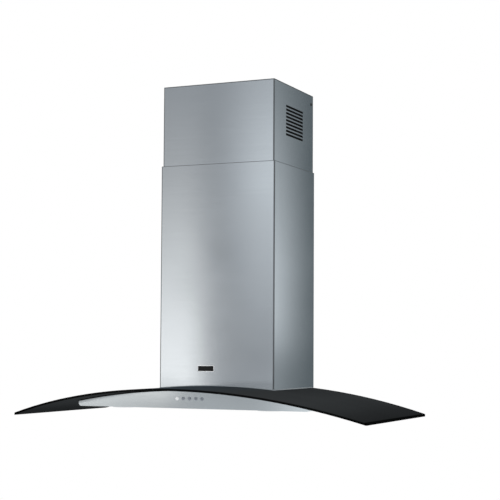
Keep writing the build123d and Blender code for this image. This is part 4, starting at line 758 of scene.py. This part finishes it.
def set_camera():
    """The photograph's place and lens: 24 degrees to the right of the middle, tilted and shifted up."""
    data = bpy.data.cameras.new("photo_camera")
    data.lens = 94.75
    data.shift_y = 0.054
    data.clip_end = 100
    camera = placed("photo_camera", data)
    place = (1.38222, -3.12521, 0.09708)
    heading, tilt, roll = math.radians(24.2694), math.radians(3.0), 0.0052
    ahead = Vector((-math.sin(heading), math.cos(heading), 0.0))
    right = Vector((math.cos(heading), math.sin(heading), 0.0))
    above = Vector((0.0, 0.0, 1.0))
    look = ahead * math.cos(tilt) + above * math.sin(tilt)
    up = above * math.cos(tilt) - ahead * math.sin(tilt)
    level, rise = right * math.cos(roll) + up * math.sin(roll), up * math.cos(roll) - right * math.sin(roll)
    turn = Matrix((level, rise, -look)).transposed().to_4x4()
    camera.matrix_world = Matrix.Translation(place) @ turn
    bpy.context.scene.camera = camera


def lay_floor():
    """A pale round floor below the hood, as a disc of rings with a faint plaster mottle.

    Towards its rim it turns into the white background, and from below it isn't seen."""
    angle = np.linspace(0, 2 * np.pi, FLOOR_STEPS, endpoint=False)
    x = np.outer(FLOOR_RINGS, np.cos(angle)).ravel()
    y = np.outer(FLOOR_RINGS, np.sin(angle)).ravel()
    points = np.concatenate([[[0, 0, -FLOOR_DROP]], np.stack([x, y, np.full_like(x, -FLOOR_DROP)], -1)])
    rings = grid_faces(len(FLOOR_RINGS), FLOOR_STEPS, False, True)[:, ::-1] + 1
    fan = [[0, 1 + i, 1 + (i + 1) % FLOOR_STEPS] for i in range(FLOOR_STEPS)]
    mesh = bpy.data.meshes.new("studio_floor")
    mesh.from_pydata(points.tolist(), [], rings.tolist() + fan)
    floor = placed("studio_floor", mesh)
    made, tree = new_material("pale_studio_floor", linear("eef0f1"), Roughness=0.8)
    mottle = pattern(tree, "TexNoise", 333.3 * MM, Detail=3.0)
    varied(tree, (mottle, [(0.3, linear("ebedee")), (0.7, linear("f2f3f4"))]))
    place = node(tree, "TexCoord").outputs["Object"]
    flat = node(tree, "VectorMath", {"operation": "MULTIPLY"}, {1: (1, 1, 0)}, {0: place})
    away = node(tree, "VectorMath", {"operation": "LENGTH"}, links={0: flat})
    fade = graded(tree, away, (0.8, 6.0), [(0.8, 0), (3.0, 0.7), (5.5, 1)])
    seen = node(tree, "Math", {"operation": "MULTIPLY"},
                links={0: fade, 1: node(tree, "LightPath").outputs["Is Camera Ray"]})
    white = node(tree, "Emission")
    front = node(tree, "MixShader", links={0: seen, 1: tree.nodes["Principled BSDF"], 2: white})
    behind = node(tree, "NewGeometry").outputs["Backfacing"]
    both = node(tree, "MixShader", links={0: behind, 1: front, 2: node(tree, "BsdfTransparent")})
    wire(tree, both, tree.nodes["Material Output"].inputs["Surface"])
    mesh.materials.append(made)


# ==================== settings
def size_field(name, description, millimetres):
    """A length of the panel, with its default given in millimetres."""
    return bpy.props.FloatProperty(
        name=name, description=description, default=millimetres * MM, unit="LENGTH")


def colour_field(name, description, code):
    """A colour of the panel, with its default given as sRGB hex."""
    return bpy.props.FloatVectorProperty(
        name=name, description=description, subtype="COLOR", size=3, min=0, max=1, default=linear(code))


class HoodSizes(bpy.types.PropertyGroup):
    """Sizes of the finishes and of the fine pieces, in metres."""

    brush_line: size_field("Brush line", "Distance between brushed lines, drawn coarse enough to show", 0.5)
    brush_depth: size_field("Brush depth", "Depth of a brushed line", 0.03)
    spangle: size_field("Zinc crystal", "Width of a zinc crystal on galvanised sheet", 9)
    mesh_cell: size_field("Mesh cell", "Width of one diamond of the grease mesh", 9)
    mesh_strand: size_field("Mesh strand", "Width of a strand of the grease mesh", 1.1)
    mesh_sheet: size_field("Mesh sheet", "Thickness of a strand of the grease mesh", 0.7)
    badge_rim: size_field("Badge rim", "Width of the bright rim of the plate on the cover", 1.6)
    lamp_ring_pitch: size_field("Lamp ring pitch", "Distance between the pressed rings of a lens", 3.2)
    foot_bead: size_field("Foot bead", "Height and width of the bead at the foot of the chimney", 2.2)
    glass_rim: size_field("Glass rim", "Width of the dark ground border of the canopy", 4)
    glass_thickness: size_field("Glass", "Thickness of the canopy", 5)
    cover_sheet: size_field("Cover sheet", "Thickness of the sheet of a cover", 1)
    # thickness of the near-black sheet of painted shade behind the slots
    baffle_thickness: size_field("Baffle", "Thickness of a baffle behind the slots", 1.6)
    mark_height: size_field("Mark height", "Height of a number on a button", 3.4)
    # width of the painted shade ring round a vent slot
    slot_shade_width: size_field("Slot rim", "Width of the rolled edge round a vent slot", 0.6)
    # width of the painted shade line along a cover's bends and edges
    edge_shade_width: size_field("Dark edge", "Width of the dark line at a bend or cut edge of a cover", 2.8)


class HoodColours(bpy.types.PropertyGroup):
    """Colours of the finishes."""

    steel: colour_field("Cover steel", "Brushed stainless steel of the covers", "cbd3d9")
    panel: colour_field("Body steel", "Brushed stainless steel of the body", "cad2d6")
    glass: colour_field("Glass", "Smoked glass of the canopy", "2e3031")
    zinc: colour_field("Zinc", "Galvanised sheet", "b4b8ba")
    aluminium: colour_field("Aluminium", "Grease filters", "c9cbcc")
    chrome: colour_field("Chrome", "Rims of the lamps", "d8dadc")
    plated: colour_field("Plated steel", "Screws and shafts", "b3b2ac")
    bronze: colour_field("Bronze", "Bearings", "b99a62")
    foam: colour_field("Foam", "Seal under the glass", "151515")
    lens: colour_field("Lens", "Lamp glasses", "eef2f2")
    white: colour_field("White", "Lamp housings and lamp button", "f1f3f3")
    dark: colour_field("Dark", "Speed buttons", "9ea5ae")
    black: colour_field("Black", "Moulded black parts", "232425")
    grey: colour_field("Grey", "Blower casing and control box", "5e6264")
    nylon: colour_field("Nylon", "Clips and slides", "d2cfc2")
    board: colour_field("Board", "Circuit board", "1f5a38")
    badge: colour_field("Badge", "Plate on the cover", "0c0d0e")
    foil: colour_field("Foil", "Silver rim of the plate on the cover", "eef0f1")
    silicone: colour_field("Silicone", "Bead at the foot of the chimney", "757c81")
    # near-black sheets of painted shade behind the slots
    baffle: colour_field("Baffle", "Baffles behind the slots", "040404")
    ink: colour_field("Ink", "Marks on the buttons", "3b4046")
    # dark screws: painted shade along the wall edge
    blackened: colour_field("Blackened steel", "Screws in the sides of the chimney", "3a3b3b")


# ==================== operators
class HOOD_OT_stage(bpy.types.Operator):
    """Set the camera, the white studio, its lamps and its floor"""

    bl_idname = "hood.stage"
    bl_label = "Stage"

    def execute(self, context):
        context.scene.view_settings.view_transform = "Standard"
        set_camera()
        set_world()
        lay_floor()
        reflector("front_reflector", FRONT_CARD, FRONT_HEIGHT, linear("202732"), FRONT_PATCHES)
        reflector("wall_reflector", WALL_CARD, WALL_HEIGHT, linear("5c6467"), WALL_PATCHES)
        for x in (-5.0, 5.0):
            reflector("side_reflector", ((x, -3.6), (x, 3.0)), FRONT_HEIGHT, linear("3c4143"), SIDE_PATCHES)
        area_light("top_fill", (0.8, -1.6, 3.2), (0, -0.2, 0.2), 2.0, 12.0)
        front = area_light("front_fill", (1.2, -3.4, 0.9), (0, -0.3, 0), 1.5, 26.0)
        front.visible_glossy = False
        return {"FINISHED"}


class HOOD_OT_finishes(bpy.types.Operator):
    """Give every piece of the frame the finish of its real part"""

    bl_idname = "hood.finishes"
    bl_label = "Finishes"

    def execute(self, context):
        MATERIALS.update(make_finishes(context.scene.hood_colours, context.scene.hood_sizes))
        for part in frame["record"]["subparts"]:
            shown = frame["nodes"][part["node"]]
            shown.data.materials.clear()
            finish = FINISHES.get(part["node"], part["material_slot"])
            shown.data.materials.append(MATERIALS[finish])
        return {"FINISHED"}


class HOOD_OT_grease_mesh(bpy.types.Operator):
    """Fill the grease filters with two crossed layers of expanded mesh"""

    bl_idname = "hood.grease_mesh"
    bl_label = "Grease mesh"

    def execute(self, context):
        sizes = context.scene.hood_sizes
        inset = sizes.mesh_strand  # a strand's width, which is also left free round the layers
        for side in SIDES:
            low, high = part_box("filter_mesh_" + side)
            base = (low.z + high.z) / 2
            corners = (low.x + inset, low.y + inset), (high.x - inset, high.y - inset)
            layers = [
                expanded_layer(*corners, base + rise, sizes.mesh_cell, along, inset, sizes.mesh_sheet)
                for rise, along in ((-sizes.mesh_sheet, "y"), (sizes.mesh_sheet, "x"))
            ]
            made = piece("grease_mesh_" + side, joined(*layers), "filter_" + side, "aluminium", False)
            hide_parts("filter_mesh_" + side)
        return {"FINISHED"}


class HOOD_OT_badge_rim(bpy.types.Operator):
    """Add the thin bright rim of the plate on the lower cover"""

    bl_idname = "hood.badge_rim"
    bl_label = "Badge rim"

    def execute(self, context):
        low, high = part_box("badge_plate")
        rim, cover = context.scene.hood_sizes.badge_rim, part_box("lower_chimney")[0].y
        ring = framed((low.x - rim, low.z - rim), (high.x + rim, high.z + rim), cover - RIM_SEAT, rim,
                      RIM_DEPTH, RIM_CORNER)
        piece("badge_rim", ring, "hood", "chrome_trim", finish="silver_foil")
        return {"FINISHED"}


class HOOD_OT_lamp_glasses(bpy.types.Operator):
    """Make the ribbed glass of each lamp"""

    bl_idname = "hood.lamp_glasses"
    bl_label = "Lamp glasses"

    def execute(self, context):
        for side in SIDES:
            name = "lamp_lens_" + side
            low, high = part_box(name)
            radius = (high.x - low.x) / 2
            ribs = int(radius / context.scene.hood_sizes.lamp_ring_pitch)
            disc = turned(ribbed_disc(radius, low.z, high.z, ribs), middle(name), LAMP_STEPS)
            made = piece("lamp_glass_" + side, disc, BODY_OF[name], "lens_glass")
            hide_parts(name)
        return {"FINISHED"}


class HOOD_OT_slot_shade_sheets(bpy.types.Operator):
    """Set a near-black sheet of painted shade close behind each row of slots of the upper cover, for the
    dark inside of the chimney
    """

    bl_idname = "hood.slot_baffles"
    bl_label = "Slot baffles"

    def execute(self, context):
        sizes = context.scene.hood_sizes
        low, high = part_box("upper_chimney")
        stand_off = sizes.cover_sheet + SHADE_SHEET_GAP
        across = (low.y + SHADE_SHEET_FRONT, -SHADE_SHEET_BACK)
        up = (high.z - SHADE_SHEET_FOOT, high.z - SHADE_SHEET_TOP)
        for side, outer, inward in (("left", low.x + stand_off, 1), ("right", high.x - stand_off, -1)):
            # a near-black sheet of painted shade behind each side's slots
            plate = crowned_plate(outer, inward * sizes.baffle_thickness, across, up)
            piece("slot_baffle_" + side, plate, BODY_OF["upper_chimney"], "black_plastic",
                  finish="painted_shade_plastic")
        return {"FINISHED"}


class HOOD_OT_foot_bead(bpy.types.Operator):
    """Lay the bead of clear silicone between the lower cover and the glass"""

    bl_idname = "hood.foot_bead"
    bl_label = "Foot bead"

    def execute(self, context):
        sizes = context.scene.hood_sizes
        low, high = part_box("glass_canopy")
        cover_low, cover_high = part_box("lower_chimney")
        half_width, sag = high.x, high.z - (low.z + sizes.glass_thickness)
        radius = (half_width**2 + sag**2) / (2 * sag)

        def arch(x):
            return high.z + np.sqrt(radius**2 - x**2) - radius

        bead = foot_bead(cover_high.x, cover_low.y, high.y - BEAD_INSET, arch, sizes.foot_bead)
        piece("foot_bead", bead, BODY_OF["lower_chimney"], "nylon", finish="clear_silicone")
        return {"FINISHED"}


class HOOD_OT_button_marks(bpy.types.Operator):
    """Print a plain number on each of the four dark buttons"""

    bl_idname = "hood.button_marks"
    bl_label = "Button marks"

    def execute(self, context):
        for name, digit in BUTTON_DIGITS.items():
            text = bpy.data.curves.new(name + "_mark", "FONT")
            text.body = digit
            text.size = context.scene.hood_sizes.mark_height / DIGIT_SHARE
            text.extrude = MARK_DEPTH
            text.resolution_u = 3
            text.align_x = "CENTER"
            text.align_y = "CENTER"
            drawn = bpy.data.objects.new(name + "_text", text)
            mesh = bpy.data.meshes.new_from_object(drawn)
            bpy.data.objects.remove(drawn)
            bpy.data.curves.remove(text)
            points = np.empty(len(mesh.vertices) * 3)
            mesh.vertices.foreach_get("co", points)
            x, y, z = points.reshape(-1, 3).T
            spot, face = middle(name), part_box(name)[0].y
            x = x - (x.max() + x.min()) / 2 + spot.x
            up = y - (y.max() + y.min()) / 2 + spot.z
            mesh.vertices.foreach_set("co", np.stack([x, face - MARK_GAP - z, up], -1).ravel())
            finished(name + "_mark", mesh, BODY_OF[name], "mark_ink", False)
        return {"FINISHED"}


class HOOD_PT_panel(bpy.types.Panel):
    """The hood's sizes, colours and pieces in the sidebar"""

    bl_idname = "HOOD_PT_panel"
    bl_label = "Glass hood"
    bl_space_type = "VIEW_3D"
    bl_region_type = "UI"
    bl_category = "Hood"

    def draw(self, context):
        for group in (context.scene.hood_sizes, context.scene.hood_colours):
            box = self.layout.box()
            for field in group.__annotations__:
                box.prop(group, field)
        for operator in OPERATORS:
            self.layout.operator(operator.bl_idname)


OPERATORS = (HOOD_OT_stage, HOOD_OT_finishes, HOOD_OT_grease_mesh, HOOD_OT_badge_rim,
             HOOD_OT_lamp_glasses, HOOD_OT_slot_shade_sheets, HOOD_OT_foot_bead, HOOD_OT_button_marks)
CLASSES = (HoodSizes, HoodColours, *OPERATORS, HOOD_PT_panel)


def register():
    for made in CLASSES:
        bpy.utils.register_class(made)
    bpy.types.Scene.hood_sizes = bpy.props.PointerProperty(type=HoodSizes)
    bpy.types.Scene.hood_colours = bpy.props.PointerProperty(type=HoodColours)


def unregister():
    del bpy.types.Scene.hood_colours
    del bpy.types.Scene.hood_sizes
    for made in reversed(CLASSES):
        bpy.utils.unregister_class(made)


def main():
    register()
    bpy.ops.hood.stage()
    bpy.ops.hood.finishes()
    bpy.ops.hood.grease_mesh()
    bpy.ops.hood.badge_rim()
    bpy.ops.hood.lamp_glasses()
    bpy.ops.hood.slot_baffles()
    bpy.ops.hood.foot_bead()
    bpy.ops.hood.button_marks()


if __name__ == "__main__":
    main()
